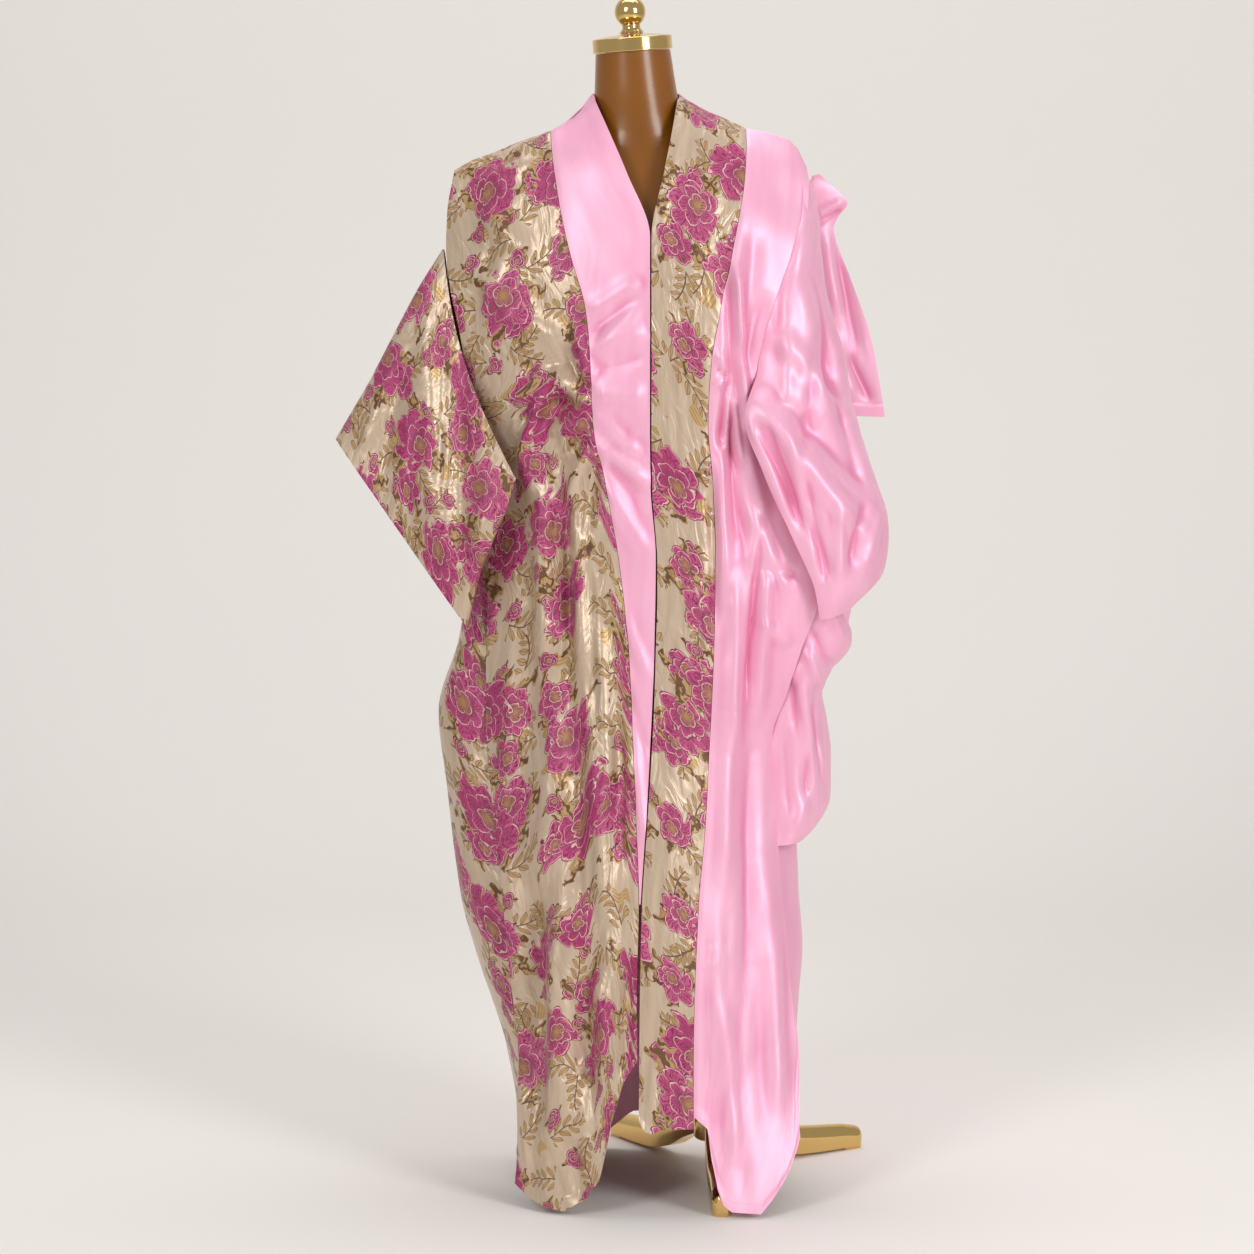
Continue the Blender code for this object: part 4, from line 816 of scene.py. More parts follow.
def cloth(name, points, finish, nodes, closed=False, start=(0.0, 0.0), share=1.0):
    """A closed wall on a grid of middle points, half its thickness out and half in, with its place in the cloth in
    metres as its map: the running length across and down, from the start."""
    levels, columns = points.shape[:2]
    ring = np.concatenate([points, points[:, :1]], axis=1) if closed else points
    if closed:
        lapped = np.concatenate([points[:, -1:], ring], axis=1)
        normals = grid_normals(lapped, away_from_pole(lapped))[:, 1:-1]
    else:
        normals = grid_normals(points, away_from_pole(points))
    half = normals * WALL / 2 * np.asarray(share)[..., None]
    outer = (points + half).reshape(-1, 3)
    inner = (points - half).reshape(-1, 3)
    count = levels * columns
    row, column = np.meshgrid(np.arange(levels - 1), np.arange(ring.shape[1] - 1), indexing="ij")
    after = (column + 1) % columns
    quads = [row * columns + column, row * columns + after, (row + 1) * columns + after, (row + 1) * columns + column]
    quads = np.stack(quads, axis=-1).reshape(-1, 4)
    wide = ring.shape[1]
    marks = [row * wide + column, row * wide + column + 1, (row + 1) * wide + column + 1, (row + 1) * wide + column]
    marks = np.stack(marks, axis=-1).reshape(-1, 4)
    faces, places = [quads, quads[:, ::-1] + count], [marks, marks[:, ::-1]]
    edges = [(0, True), (levels - 1, False)]
    for level, flip in edges:
        across = np.arange(wide - 1)
        a, b = level * columns + across, level * columns + (across + 1) % columns
        rim = np.stack([a, a + count, b + count, b], axis=-1)
        mark = np.stack([level * wide + across, level * wide + across, level * wide + across + 1] * 1, axis=-1)
        mark = np.concatenate([mark, mark[:, 2:]], axis=1)
        faces.append(rim if flip else rim[:, ::-1])
        places.append(mark if flip else mark[:, ::-1])
    if not closed:
        for side, flip in ((0, False), (columns - 1, True)):
            down = np.arange(levels - 1)
            a, b = down * columns + side, (down + 1) * columns + side
            rim = np.stack([a, a + count, b + count, b], axis=-1)
            mark = np.stack([a, a, b, b], axis=-1)
            faces.append(rim if flip else rim[:, ::-1])
            places.append(mark if flip else mark[:, ::-1])
    map_points = np.stack([arcs(ring, 1) + start[0], start[1] - arcs(ring, 0)], axis=-1).reshape(-1, 2)
    uvs = map_points[np.concatenate(places)]
    # Depth in the fold troughs, which the satin paints as shade
    painted_trough_shade = np.tile(trough_shade_shares(points).ravel(), 2)
    skin = np.concatenate([outer, inner])
    return mesh_piece(name, skin, np.concatenate(faces), finish, nodes, uvs, painted_trough_shade)


def depth_of(points, line):
    """The grid's depth behind each point of a line, from the points near it as seen from the front."""
    flat = points.reshape(-1, 3)
    away = (line[:, None, 0] - flat[None, :, 0]) ** 2 + (line[:, None, 2] - flat[None, :, 2]) ** 2
    weight = np.exp(-(away - away.min(axis=1, keepdims=True)) / 0.0025**2)
    return (weight * flat[:, 1]).sum(axis=1) / weight.sum(axis=1)


def seam_dip(points, side):
    """The grid with the edge on this side, 0 or -1, rolled down into its seam over a few millimetres."""
    across = arcs(points, 1)
    away = across if side == 0 else across[:, -1:] - across
    return moved_out(points, -0.0009 * np.exp(-((away / 0.0035) ** 2)))


def hem_band(points, deep):
    """The grid with a turned hem of this depth: a little thicker, with a stitched trough along its top."""
    down = arcs(points, 0)
    up = down[-1:] - down
    raised = 0.0009 / (1 + np.exp((up - deep) / 0.0012))
    trough = -0.0011 * np.exp(-(((up - deep + 0.001) / 0.0016) ** 2))
    return moved_out(points, raised + trough)


def ladder(sides):
    """Four-cornered faces that shut a ring of an even number of points: strips straight across it."""
    k = np.arange(sides // 2 - 1)
    return np.stack([k, k + 1, sides - 2 - k, sides - 1 - k], axis=-1)


def lofted(name, rings, finish, nodes, bevel=0.0):
    """A closed solid through rings of points, its ends shut by a last ring drawn in to a point's width."""
    ends = [rings[:1].mean(axis=1, keepdims=True), rings[-1:].mean(axis=1, keepdims=True)]
    rings = np.concatenate([ends[0] + (rings[:1] - ends[0]) * 0.002, rings, ends[1] + (rings[-1:] - ends[1]) * 0.002])
    count, sides = rings.shape[:2]
    row, column = np.meshgrid(np.arange(count - 1), np.arange(sides), indexing="ij")
    after = (column + 1) % sides
    faces = [row * sides + column, row * sides + after, (row + 1) * sides + after, (row + 1) * sides + column]
    faces = np.stack(faces, axis=-1).reshape(-1, 4)
    lid = ladder(sides)
    faces = np.concatenate([faces, lid[:, ::-1], lid + (count - 1) * sides])
    item = mesh_piece(name, rings.reshape(-1, 3), faces, finish, nodes)
    if bevel:
        rounding = item.modifiers.new("rounded edges", "BEVEL")
        rounding.width = bevel
        rounding.segments = 3
        rounding.limit_method = "ANGLE"
        rounding.angle_limit = math.radians(28)
    return item


def turned(profile, sides, at, lean=0.0):
    """Rings of a solid of revolution from (radius, height) rows, tilted by the lean about its foot."""
    rows = np.array(profile)
    turn = np.arange(sides) * 2 * math.pi / sides
    x = rows[:, :1] * np.cos(turn)
    y = rows[:, :1] * np.sin(turn)
    z = np.repeat(rows[:, 1:], sides, axis=1)
    tilted = [x * math.cos(lean) + z * math.sin(lean), y, z * math.cos(lean) - x * math.sin(lean)]
    return np.stack(tilted, axis=-1) + np.array(at)


def stitches(name, line, normals, pitch, length, radius, finish):
    """Sewing stitches as one mesh: six-sided spindles laid end to end along a line of points."""
    gone = np.concatenate([[0], np.cumsum(np.linalg.norm(np.diff(line, axis=0), axis=1))])
    places = np.arange(pitch, gone[-1] - pitch, pitch)
    centre = np.stack([np.interp(places, gone, line[:, k]) for k in range(3)], axis=-1)
    ahead = np.stack([np.interp(places + 0.001, gone, line[:, k]) for k in range(3)], axis=-1) - centre
    ahead /= np.linalg.norm(ahead, axis=1, keepdims=True)
    up = np.stack([np.interp(places, gone, normals[:, k]) for k in range(3)], axis=-1)
    up -= ahead * np.einsum("ij,ij->i", up, ahead)[:, None]
    up /= np.linalg.norm(up, axis=1, keepdims=True)
    side = np.cross(ahead, up)
    turn = np.arange(6) * math.pi / 3
    along = np.array([-0.5, -0.32, 0.0, 0.32, 0.5]) * length
    girth = np.array([0.15, 0.8, 1.0, 0.8, 0.15]) * radius
    circle = side[:, None] * np.cos(turn)[None, :, None] + up[:, None] * np.sin(turn)[None, :, None]
    points = centre[:, None, None] + ahead[:, None, None] * along[None, :, None, None]
    points = points + circle[:, None] * girth[None, :, None, None] + up[:, None, None] * radius * 0.4
    ring, spoke = np.meshgrid(np.arange(4), np.arange(6), indexing="ij")
    after = (spoke + 1) % 6
    one = [ring * 6 + spoke, ring * 6 + after, (ring + 1) * 6 + after, (ring + 1) * 6 + spoke]
    one = np.stack(one, axis=-1).reshape(-1, 4)
    one = np.concatenate([one, ladder(6)[:, ::-1], ladder(6) + 24])
    faces = (one[None] + np.arange(len(places))[:, None, None] * 30).reshape(-1, 4)
    return mesh_piece(name, points.reshape(-1, 3), faces, finish, ())


def line_above_hem(points, height):
    """A line on the grid's outer face at this height above the hem, with the face's normals along it."""
    down = arcs(points, 0)
    up = down[-1:] - down
    last = np.clip((up > height).sum(axis=0) - 1, 0, len(points) - 2)
    column = np.arange(points.shape[1])
    share = ((up[last, column] - height) / (up[last, column] - up[last + 1, column]))[:, None]
    normals = grid_normals(points, away_from_pole(points))
    line = points[last, column] * (1 - share) + points[last + 1, column] * share
    facing = normals[last, column]
    return line + facing * WALL / 2, facing


# Finishes


def put(tree, kind, inputs=(), **settings):
    """A node of this kind with its settings, its inputs given as values or as outputs of other nodes."""
    made = tree.nodes.new("ShaderNode" + kind)
    for key, value in settings.items():
        setattr(made, key, value)
    for key, value in dict(inputs).items():
        if isinstance(value, bpy.types.NodeSocket):
            tree.links.new(value, made.inputs[key])
        else:
            made.inputs[key].default_value = value
    return made


def calc(tree, operation, *values):
    return put(tree, "Math", enumerate(values), operation=operation).outputs[0]


def blend(tree, share, first, second):
    return put(tree, "Mix", {0: share, 6: first, 7: second}, data_type="RGBA").outputs[2]


def under(tree, value, limit, soft):
    """One where the value is below the limit, nothing where it is above, with a soft step between."""
    step = put(tree, "MapRange", {0: value, 1: limit, 2: calc(tree, "ADD", limit, soft), 3: 1.0, 4: 0.0})
    return step.outputs[0]


def new_group(name, inputs, outputs):
    """An empty node group with these named sockets. Inputs are (name, kind, value), outputs (name, kind)."""
    group = bpy.data.node_groups.new(name, "ShaderNodeTree")
    for label, kind, value in inputs:
        socket = group.interface.new_socket(label, in_out="INPUT", socket_type="NodeSocket" + kind)
        if value is not None:
            socket.default_value = value
    for label, kind in outputs:
        group.interface.new_socket(label, in_out="OUTPUT", socket_type="NodeSocket" + kind)
    return group, group.nodes.new("NodeGroupInput").outputs, group.nodes.new("NodeGroupOutput").inputs


def place_group(tree, group, **inputs):
    made = tree.nodes.new("ShaderNodeGroup")
    made.node_tree = group
    for key, value in inputs.items():
        if isinstance(value, bpy.types.NodeSocket):
            tree.links.new(value, made.inputs[key])
        else:
            made.inputs[key].default_value = value
    return made.outputs


def scatter_group():
    """Places of a motif: half-drop rows of cells, each with its own seeded shift, turn and chance to be left out."""
    group, given, out = new_group(
        "motif places",
        [
            ("Cloth", "Vector", None),
            ("Spacing", "Float", 0.1),
            ("Shift", "Float", 0.0),
            ("Seed", "Float", 0.0),
            ("Stray", "Float", 0.2),
            ("Turn", "Float", 6.28),
            ("Keep", "Float", 1.0),
        ],
        [("X", "Float"), ("Y", "Float"), ("Pick", "Float"), ("Here", "Float")],
    )
    cloth_place = put(group, "SeparateXYZ", {0: given["Cloth"]}).outputs
    u = calc(group, "ADD", calc(group, "DIVIDE", cloth_place[0], given["Spacing"]), given["Shift"])
    v = calc(group, "MULTIPLY_ADD", given["Shift"], 0.7, calc(group, "DIVIDE", cloth_place[1], given["Spacing"]))
    column = calc(group, "FLOOR", u)
    v = calc(group, "MULTIPLY_ADD", calc(group, "FLOORED_MODULO", column, 2.0), 0.5, v)
    row = calc(group, "FLOOR", v)
    cell = put(group, "CombineXYZ", {0: column, 1: row, 2: given["Seed"]}).outputs[0]
    chance = put(group, "TexWhiteNoise", {"Vector": cell}, noise_dimensions="3D").outputs
    parts = put(group, "SeparateColor", {0: chance["Color"]}).outputs
    across = calc(group, "SUBTRACT", calc(group, "FRACT", u), 0.5)
    across = calc(group, "SUBTRACT", across, calc(group, "MULTIPLY", calc(group, "SUBTRACT", parts[0], 0.5), given["Stray"]))
    along = calc(group, "SUBTRACT", calc(group, "FRACT", v), 0.5)
    along = calc(group, "SUBTRACT", along, calc(group, "MULTIPLY", calc(group, "SUBTRACT", parts[1], 0.5), given["Stray"]))
    across = calc(group, "MULTIPLY", across, given["Spacing"])
    along = calc(group, "MULTIPLY", along, given["Spacing"])
    angle = calc(group, "MULTIPLY", calc(group, "SUBTRACT", parts[2], 0.5), given["Turn"])
    cosine, sine = calc(group, "COSINE", angle), calc(group, "SINE", angle)
    x = calc(group, "SUBTRACT", calc(group, "MULTIPLY", across, cosine), calc(group, "MULTIPLY", along, sine))
    y = calc(group, "ADD", calc(group, "MULTIPLY", across, sine), calc(group, "MULTIPLY", along, cosine))
    for label, value in (
        ("X", x),
        ("Y", y),
        ("Pick", chance["Value"]),
        ("Here", calc(group, "LESS_THAN", chance["Value"], given["Keep"])),
    ):
        group.links.new(value, out[label])
    return group


def petal_ring_group():
    """A ring of round petals: its rim is a size times a lobed share, 0.58 plus 0.42 of the root of the sine."""
    group, given, out = new_group(
        "petal ring",
        [
            ("Distance", "Float", 0.0),
            ("Turn", "Float", 0.0),
            ("Size", "Float", 1.0),
            ("Petals", "Float", 6.0),
            ("Shift", "Float", 0.0),
            ("Line", "Float", 0.03),
        ],
        [("Inside", "Float"), ("Line", "Float"), ("Pale", "Float"), ("Depth", "Float")],
    )
    half_turns = calc(group, "MULTIPLY_ADD", calc(group, "MULTIPLY", given["Turn"], 0.5), given["Petals"], given["Shift"])
    lobe = calc(group, "ABSOLUTE", calc(group, "SINE", half_turns))
    share = calc(group, "MULTIPLY_ADD", calc(group, "SQRT", lobe), 0.42, 0.58)
    rim = calc(group, "MULTIPLY", given["Size"], share)
    over = calc(group, "SUBTRACT", given["Distance"], rim)
    inside = under(group, over, 0.0, 0.02)
    rim_line = under(group, calc(group, "ABSOLUTE", over), given["Line"], 0.015)
    gap = calc(group, "MULTIPLY", lobe, given["Distance"])
    gap_line = calc(group, "MULTIPLY", under(group, gap, calc(group, "MULTIPLY", given["Line"], 1.2), 0.03), inside)
    set_in = calc(group, "ADD", over, calc(group, "MULTIPLY", given["Line"], 3.0))
    pale = under(group, calc(group, "ABSOLUTE", set_in), calc(group, "MULTIPLY", given["Line"], 0.6), 0.02)
    for label, value in (
        ("Inside", inside),
        ("Line", calc(group, "MAXIMUM", rim_line, gap_line)),
        ("Pale", calc(group, "MULTIPLY", pale, inside)),
        ("Depth", calc(group, "DIVIDE", calc(group, "MULTIPLY", over, -1.0), given["Size"])),
    ):
        group.links.new(value, out[label])
    return group


def flower_group(ring):
    """A full flower: three rings of petals one in another, thin veins, a gold heart, and leaves from behind it."""
    group, given, out = new_group(
        "brocade flower",
        [("X", "Float", 0.0), ("Y", "Float", 0.0), ("Pick", "Float", 0.0), ("Radius", "Float", 0.04), ("Petals", "Float", 7.0)],
        [("Petal", "Float"), ("Line", "Float"), ("Pale", "Float"), ("Tone", "Float"), ("Heart", "Float"), ("Leaf", "Float"), ("Rib", "Float")],
    )
    place = put(group, "CombineXYZ", {0: given["X"], 1: given["Y"], 2: given["Pick"]}).outputs[0]
    wander = put(group, "TexNoise", {"Vector": place, "Scale": 48.0, "Detail": 2.0}, noise_dimensions="3D").outputs[0]
    angle = calc(group, "MULTIPLY", given["Pick"], 40.0)
    aside = [calc(group, "MULTIPLY", given["Radius"], calc(group, way, angle)) for way in ("COSINE", "SINE")]
    line = calc(group, "DIVIDE", 0.00045, given["Radius"])

    def seen_from(off):
        """Distance and direction from a centre moved off by this share of the radius, both wandering a little."""
        across, along = (
            calc(group, "MULTIPLY_ADD", shift, -off, given[label]) for shift, label in zip(aside, ("X", "Y"))
        )
        away = put(group, "VectorMath", {0: put(group, "CombineXYZ", {0: across, 1: along}).outputs[0]}, operation="LENGTH")
        away = calc(group, "DIVIDE", away.outputs["Value"], given["Radius"])
        away = calc(group, "MULTIPLY", away, calc(group, "MULTIPLY_ADD", wander, 0.8, 0.6))
        around = calc(group, "ARCTAN2", along, across)
        return away, calc(group, "MULTIPLY_ADD", calc(group, "SUBTRACT", wander, 0.5), 1.5, around)

    distance, turn = seen_from(0.0)
    near, near_turn = seen_from(0.16)
    core, core_turn = seen_from(0.24)
    outer = place_group(group, ring, Distance=distance, Turn=turn, Size=1.0, Petals=given["Petals"], Line=line)
    middle = place_group(group, ring, Distance=near, Turn=near_turn, Size=0.66, Petals=5.0, Shift=1.4, Line=line)
    inner = place_group(group, ring, Distance=core, Turn=core_turn, Size=0.36, Petals=4.0, Shift=0.6, Line=line)
    outside_middle = calc(group, "SUBTRACT", 1.0, middle["Inside"])
    outside_inner = calc(group, "SUBTRACT", 1.0, inner["Inside"])
    lines = calc(group, "MULTIPLY", outer["Line"], outside_middle)
    lines = calc(group, "MAXIMUM", lines, calc(group, "MULTIPLY", middle["Line"], outside_inner))
    lines = calc(group, "MAXIMUM", lines, inner["Line"])
    pale = calc(group, "MULTIPLY", outer["Pale"], outside_middle)
    pale = calc(group, "MAXIMUM", pale, calc(group, "MULTIPLY", middle["Pale"], outside_inner))
    pale = calc(group, "MAXIMUM", pale, inner["Pale"])
    depth = calc(group, "MINIMUM", outer["Depth"], calc(group, "ADD", calc(group, "ABSOLUTE", middle["Depth"]), 0.02))
    veins = calc(group, "ABSOLUTE", calc(group, "SINE", calc(group, "MULTIPLY", turn, calc(group, "MULTIPLY", given["Petals"], 2.5))))
    stripes = under(group, veins, 0.30, 0.25)
    stripes = calc(group, "MULTIPLY", stripes, under(group, calc(group, "MULTIPLY", depth, -1.0), -0.09, 0.05))
    tone = calc(group, "MULTIPLY_ADD", depth, 1.1, calc(group, "MULTIPLY", stripes, 0.9))
    leaf_turn = calc(group, "MULTIPLY_ADD", given["Pick"], 9.0, calc(group, "MULTIPLY", turn, 1.5))
    leaf_side = calc(group, "ABSOLUTE", calc(group, "SINE", leaf_turn))
    leaf_reach = calc(group, "MULTIPLY_ADD", calc(group, "POWER", leaf_side, 16.0), 0.78, 0.70)
    leaf = under(group, calc(group, "SUBTRACT", distance, leaf_reach), 0.0, 0.02)
    leaf = calc(group, "MULTIPLY", leaf, calc(group, "SUBTRACT", 1.0, outer["Inside"]))
    rib = under(group, calc(group, "SUBTRACT", 1.0, leaf_side), 0.004, 0.004)
    edge = under(group, calc(group, "ABSOLUTE", calc(group, "SUBTRACT", distance, leaf_reach)), line, 0.02)
    strokes = calc(group, "MULTIPLY_ADD", calc(group, "SUBTRACT", 1.0, veins), 0.30, 0.04)
    heart = under(group, calc(group, "SUBTRACT", core, strokes), 0.0, 0.08)
    for label, value in (
        ("Petal", outer["Inside"]),
        ("Line", lines),
        ("Pale", pale),
        ("Tone", tone),
        ("Heart", heart),
        ("Leaf", leaf),
        ("Rib", calc(group, "MULTIPLY", calc(group, "MAXIMUM", rib, edge), leaf)),
    ):
        group.links.new(value, out[label])
    return group


def sprig_group():
    """A sprig: a bent stem with leaflets in turn on both sides, each a sine bow wide."""
    group, given, out = new_group(
        "brocade sprig",
        [("X", "Float", 0.0), ("Y", "Float", 0.0), ("Length", "Float", 0.05)],
        [("Leaf", "Float"), ("Rib", "Float")],
    )
    along = calc(group, "ADD", calc(group, "DIVIDE", given["Y"], given["Length"]), 0.5)
    bend = calc(group, "MULTIPLY", calc(group, "MULTIPLY", given["Y"], given["Y"]), 7.0)
    across = calc(group, "SUBTRACT", given["X"], bend)
    side = calc(group, "ABSOLUTE", across)
    pitch = calc(group, "MULTIPLY", given["Length"], 0.27)
    height = calc(group, "SUBTRACT", given["Y"], calc(group, "MULTIPLY", side, 0.9))
    height = calc(group, "MULTIPLY_ADD", calc(group, "SIGN", across), calc(group, "MULTIPLY", pitch, 0.25), height)
    off = calc(group, "PINGPONG", height, calc(group, "MULTIPLY", pitch, 0.5))
    long = calc(group, "MULTIPLY", given["Length"], calc(group, "MULTIPLY_ADD", along, -0.16, 0.36))
    bow = calc(group, "SINE", calc(group, "MULTIPLY", calc(group, "MINIMUM", calc(group, "DIVIDE", side, long), 1.0), math.pi))
    wide = calc(group, "MULTIPLY", calc(group, "MULTIPLY", pitch, 0.34), bow)
    within = calc(group, "MULTIPLY", calc(group, "GREATER_THAN", along, 0.0), calc(group, "LESS_THAN", along, 1.0))
    leaf = calc(group, "MULTIPLY", under(group, calc(group, "SUBTRACT", off, wide), 0.0, 0.0005), within)
    leaf = calc(group, "MULTIPLY", leaf, calc(group, "LESS_THAN", side, long))
    rib = calc(group, "MULTIPLY", under(group, off, 0.0002, 0.0004), leaf)
    edge = under(group, calc(group, "ABSOLUTE", calc(group, "SUBTRACT", off, wide)), 0.0003, 0.0005)
    stem = calc(group, "MULTIPLY", under(group, side, 0.0006, 0.0005), within)
    group.links.new(calc(group, "MAXIMUM", leaf, stem), out["Leaf"])
    group.links.new(calc(group, "MAXIMUM", calc(group, "MAXIMUM", rib, calc(group, "MULTIPLY", edge, leaf)), stem), out["Rib"])
    return group


def bud_group():
    """A striped bud: a disc with a bite out of its top, its stripes even steps of height."""
    group, given, out = new_group(
        "brocade bud",
        [("X", "Float", 0.0), ("Y", "Float", 0.0), ("Size", "Float", 0.012)],
        [("Body", "Float"), ("Stripe", "Float")],
    )
    reach = calc(group, "SQRT", calc(group, "ADD", calc(group, "POWER", given["X"], 2.0), calc(group, "POWER", given["Y"], 2.0)))
    raised = calc(group, "SUBTRACT", given["Y"], calc(group, "MULTIPLY", given["Size"], 0.95))
    bite = calc(group, "SQRT", calc(group, "ADD", calc(group, "POWER", given["X"], 2.0), calc(group, "POWER", raised, 2.0)))
    body = under(group, calc(group, "SUBTRACT", reach, given["Size"]), 0.0, 0.0005)
    kept = under(group, calc(group, "SUBTRACT", calc(group, "MULTIPLY", given["Size"], 0.8), bite), 0.0, 0.0005)
    body = calc(group, "MULTIPLY", body, kept)
    bands = calc(group, "ABSOLUTE", calc(group, "SINE", calc(group, "DIVIDE", given["Y"], calc(group, "MULTIPLY", given["Size"], 0.12))))
    group.links.new(body, out["Body"])
    group.links.new(calc(group, "MULTIPLY", under(group, bands, 0.3, 0.2), body), out["Stripe"])
    return group


def weave_group():
    """Cloth threads: fine bands both ways on the cloth's map, and slow slubs, as a height and a tone."""
    group, given, out = new_group(
        "weave",
        [("Cloth", "Vector", None), ("Across", "Float", 900.0), ("Down", "Float", 420.0), ("Slub", "Float", 40.0)],
        [("Height", "Float"), ("Tone", "Float")],
    )
    threads = put(group, "VectorMath", {0: given["Cloth"], 1: put(group, "CombineXYZ", {0: given["Across"], 1: given["Down"]}).outputs[0]}, operation="MULTIPLY")
    fine = put(group, "TexNoise", {"Vector": threads.outputs[0], "Scale": 1.0, "Detail": 1.0}, noise_dimensions="2D").outputs[0]
    stretch = put(group, "VectorMath", {0: given["Cloth"], 1: (3.0, 0.35, 1.0)}, operation="MULTIPLY")
    slub = put(group, "TexNoise", {"Vector": stretch.outputs[0], "Scale": given["Slub"], "Detail": 3.0}, noise_dimensions="2D").outputs[0]
    group.links.new(fine, out["Height"])
    group.links.new(slub, out["Tone"])
    return group


def new_finish(name, shown):
    """A material with its own shader, and the colour it shows in plain viewers."""
    made = bpy.data.materials.new(name)
    made.use_nodes = True
    made.diffuse_color = (*shown, 1.0)
    return made, made.node_tree, made.node_tree.nodes["Principled BSDF"]


def brocade_finish(weave):
    """Champagne jacquard with woven peonies, small flowers, sprigs and buds, each layer over the one before."""
    finish, tree, shader = new_finish("flowered brocade", GROUND)
    cloth_map = put(tree, "UVMap", uv_map="cloth").outputs[0]
    scatter = scatter_group()
    ring = petal_ring_group()
    flower, sprig, bud = flower_group(ring), sprig_group(), bud_group()
    threads = place_group(tree, weave, Cloth=cloth_map, Across=900.0, Down=500.0, Slub=34.0)
    colour = blend(tree, threads["Tone"], (*GROUND_DEEP, 1), (*GROUND, 1))
    raised = 0.0
    for spacing, shift, seed, length, keep in ((0.078, 0.1, 1.0, 0.056, 0.90), (0.089, 0.55, 2.0, 0.048, 0.9)):
        spot = place_group(tree, scatter, Cloth=cloth_map, Spacing=spacing, Shift=shift, Seed=seed, Keep=keep)
        made = place_group(tree, sprig, X=spot["X"], Y=spot["Y"], Length=length)
        leaf = calc(tree, "MULTIPLY", made["Leaf"], spot["Here"])
        colour = blend(tree, leaf, colour, blend(tree, threads["Tone"], (*LEAF, 1), (*LEAF_PALE, 1)))
        colour = blend(tree, calc(tree, "MULTIPLY", made["Rib"], spot["Here"]), colour, (*LEAF_DEEP, 1))
        raised = calc(tree, "MAXIMUM", raised, leaf)
    spot = place_group(tree, scatter, Cloth=cloth_map, Spacing=0.118, Shift=0.35, Seed=5.0, Keep=0.75, Stray=0.5)
    made = place_group(tree, bud, X=spot["X"], Y=spot["Y"], Size=0.0125)
    colour = blend(tree, calc(tree, "MULTIPLY", made["Body"], spot["Here"]), colour, (*LEAF_PALE, 1))
    colour = blend(tree, calc(tree, "MULTIPLY", made["Stripe"], spot["Here"]), colour, (*LEAF, 1))
    for spacing, shift, seed, radius, petals, keep, stray in (
        (0.064, 0.20, 7.0, 0.0125, 3.0, 0.65, 0.6),
        (0.108, 0.45, 11.0, 0.0280, 5.0, 0.85, 0.40),
        (0.176, 0.37, 13.0, 0.0400, 6.0, 0.80, 0.45),
        (0.152, 0.80, 17.0, 0.0450, 7.0, 0.95, 0.30),
    ):
        spot = place_group(tree, scatter, Cloth=cloth_map, Spacing=spacing, Shift=shift, Seed=seed, Keep=keep, Stray=stray)
        made = place_group(tree, flower, X=spot["X"], Y=spot["Y"], Pick=spot["Pick"], Radius=radius, Petals=petals)
        here = {label: calc(tree, "MULTIPLY", made[label], spot["Here"]) for label in ("Petal", "Line", "Pale", "Heart", "Leaf", "Rib")}
        colour = blend(tree, here["Leaf"], colour, blend(tree, threads["Tone"], (*LEAF, 1), (*LEAF_PALE, 1)))
        colour = blend(tree, here["Rib"], colour, (*LEAF_DEEP, 1))
        fair = blend(tree, spot["Pick"], (*PETAL, 1), (*PETAL_ROSE, 1))
        woven = calc(tree, "MULTIPLY_ADD", threads["Height"], 1.6, calc(tree, "SUBTRACT", made["Tone"], 0.60))
        petal = blend(tree, woven, fair, (*PETAL_SHADE, 1))
        colour = blend(tree, here["Petal"], colour, petal)
        colour = blend(tree, here["Line"], colour, (*PETAL_DEEP, 1))
        colour = blend(tree, calc(tree, "MULTIPLY", here["Pale"], calc(tree, "MULTIPLY", threads["Tone"], 1.1)), colour, (*GROUND_PALE, 1))
        colour = blend(tree, here["Heart"], colour, (*LEAF, 1))
        raised = calc(tree, "MAXIMUM", raised, calc(tree, "MULTIPLY", here["Petal"], calc(tree, "MULTIPLY_ADD", here["Line"], -0.4, 1.0)))
    tree.links.new(colour, shader.inputs["Base Color"])
    rough = calc(tree, "MULTIPLY_ADD", raised, 0.16, calc(tree, "MULTIPLY_ADD", threads["Tone"], 0.16, 0.26))
    tree.links.new(rough, shader.inputs["Roughness"])
    tree.links.new(calc(tree, "MULTIPLY_ADD", raised, -0.20, 0.30), shader.inputs["Metallic"])
    fine = put(tree, "Bump", {"Height": threads["Height"], "Strength": 0.35, "Distance": 0.0003}).outputs[0]
    crumple = place_crumple(tree, cloth_map, 26.0, 0.10)
    broad = put(tree, "Bump", {"Height": crumple, "Strength": 0.55, "Distance": 0.0045, "Normal": fine}).outputs[0]
    tree.links.new(broad, shader.inputs["Normal"])
    shader.inputs["Sheen Weight"].default_value = 0.15
    shader.inputs["Sheen Roughness"].default_value = 0.4
    shader.inputs["Specular IOR Level"].default_value = 0.6
    return finish


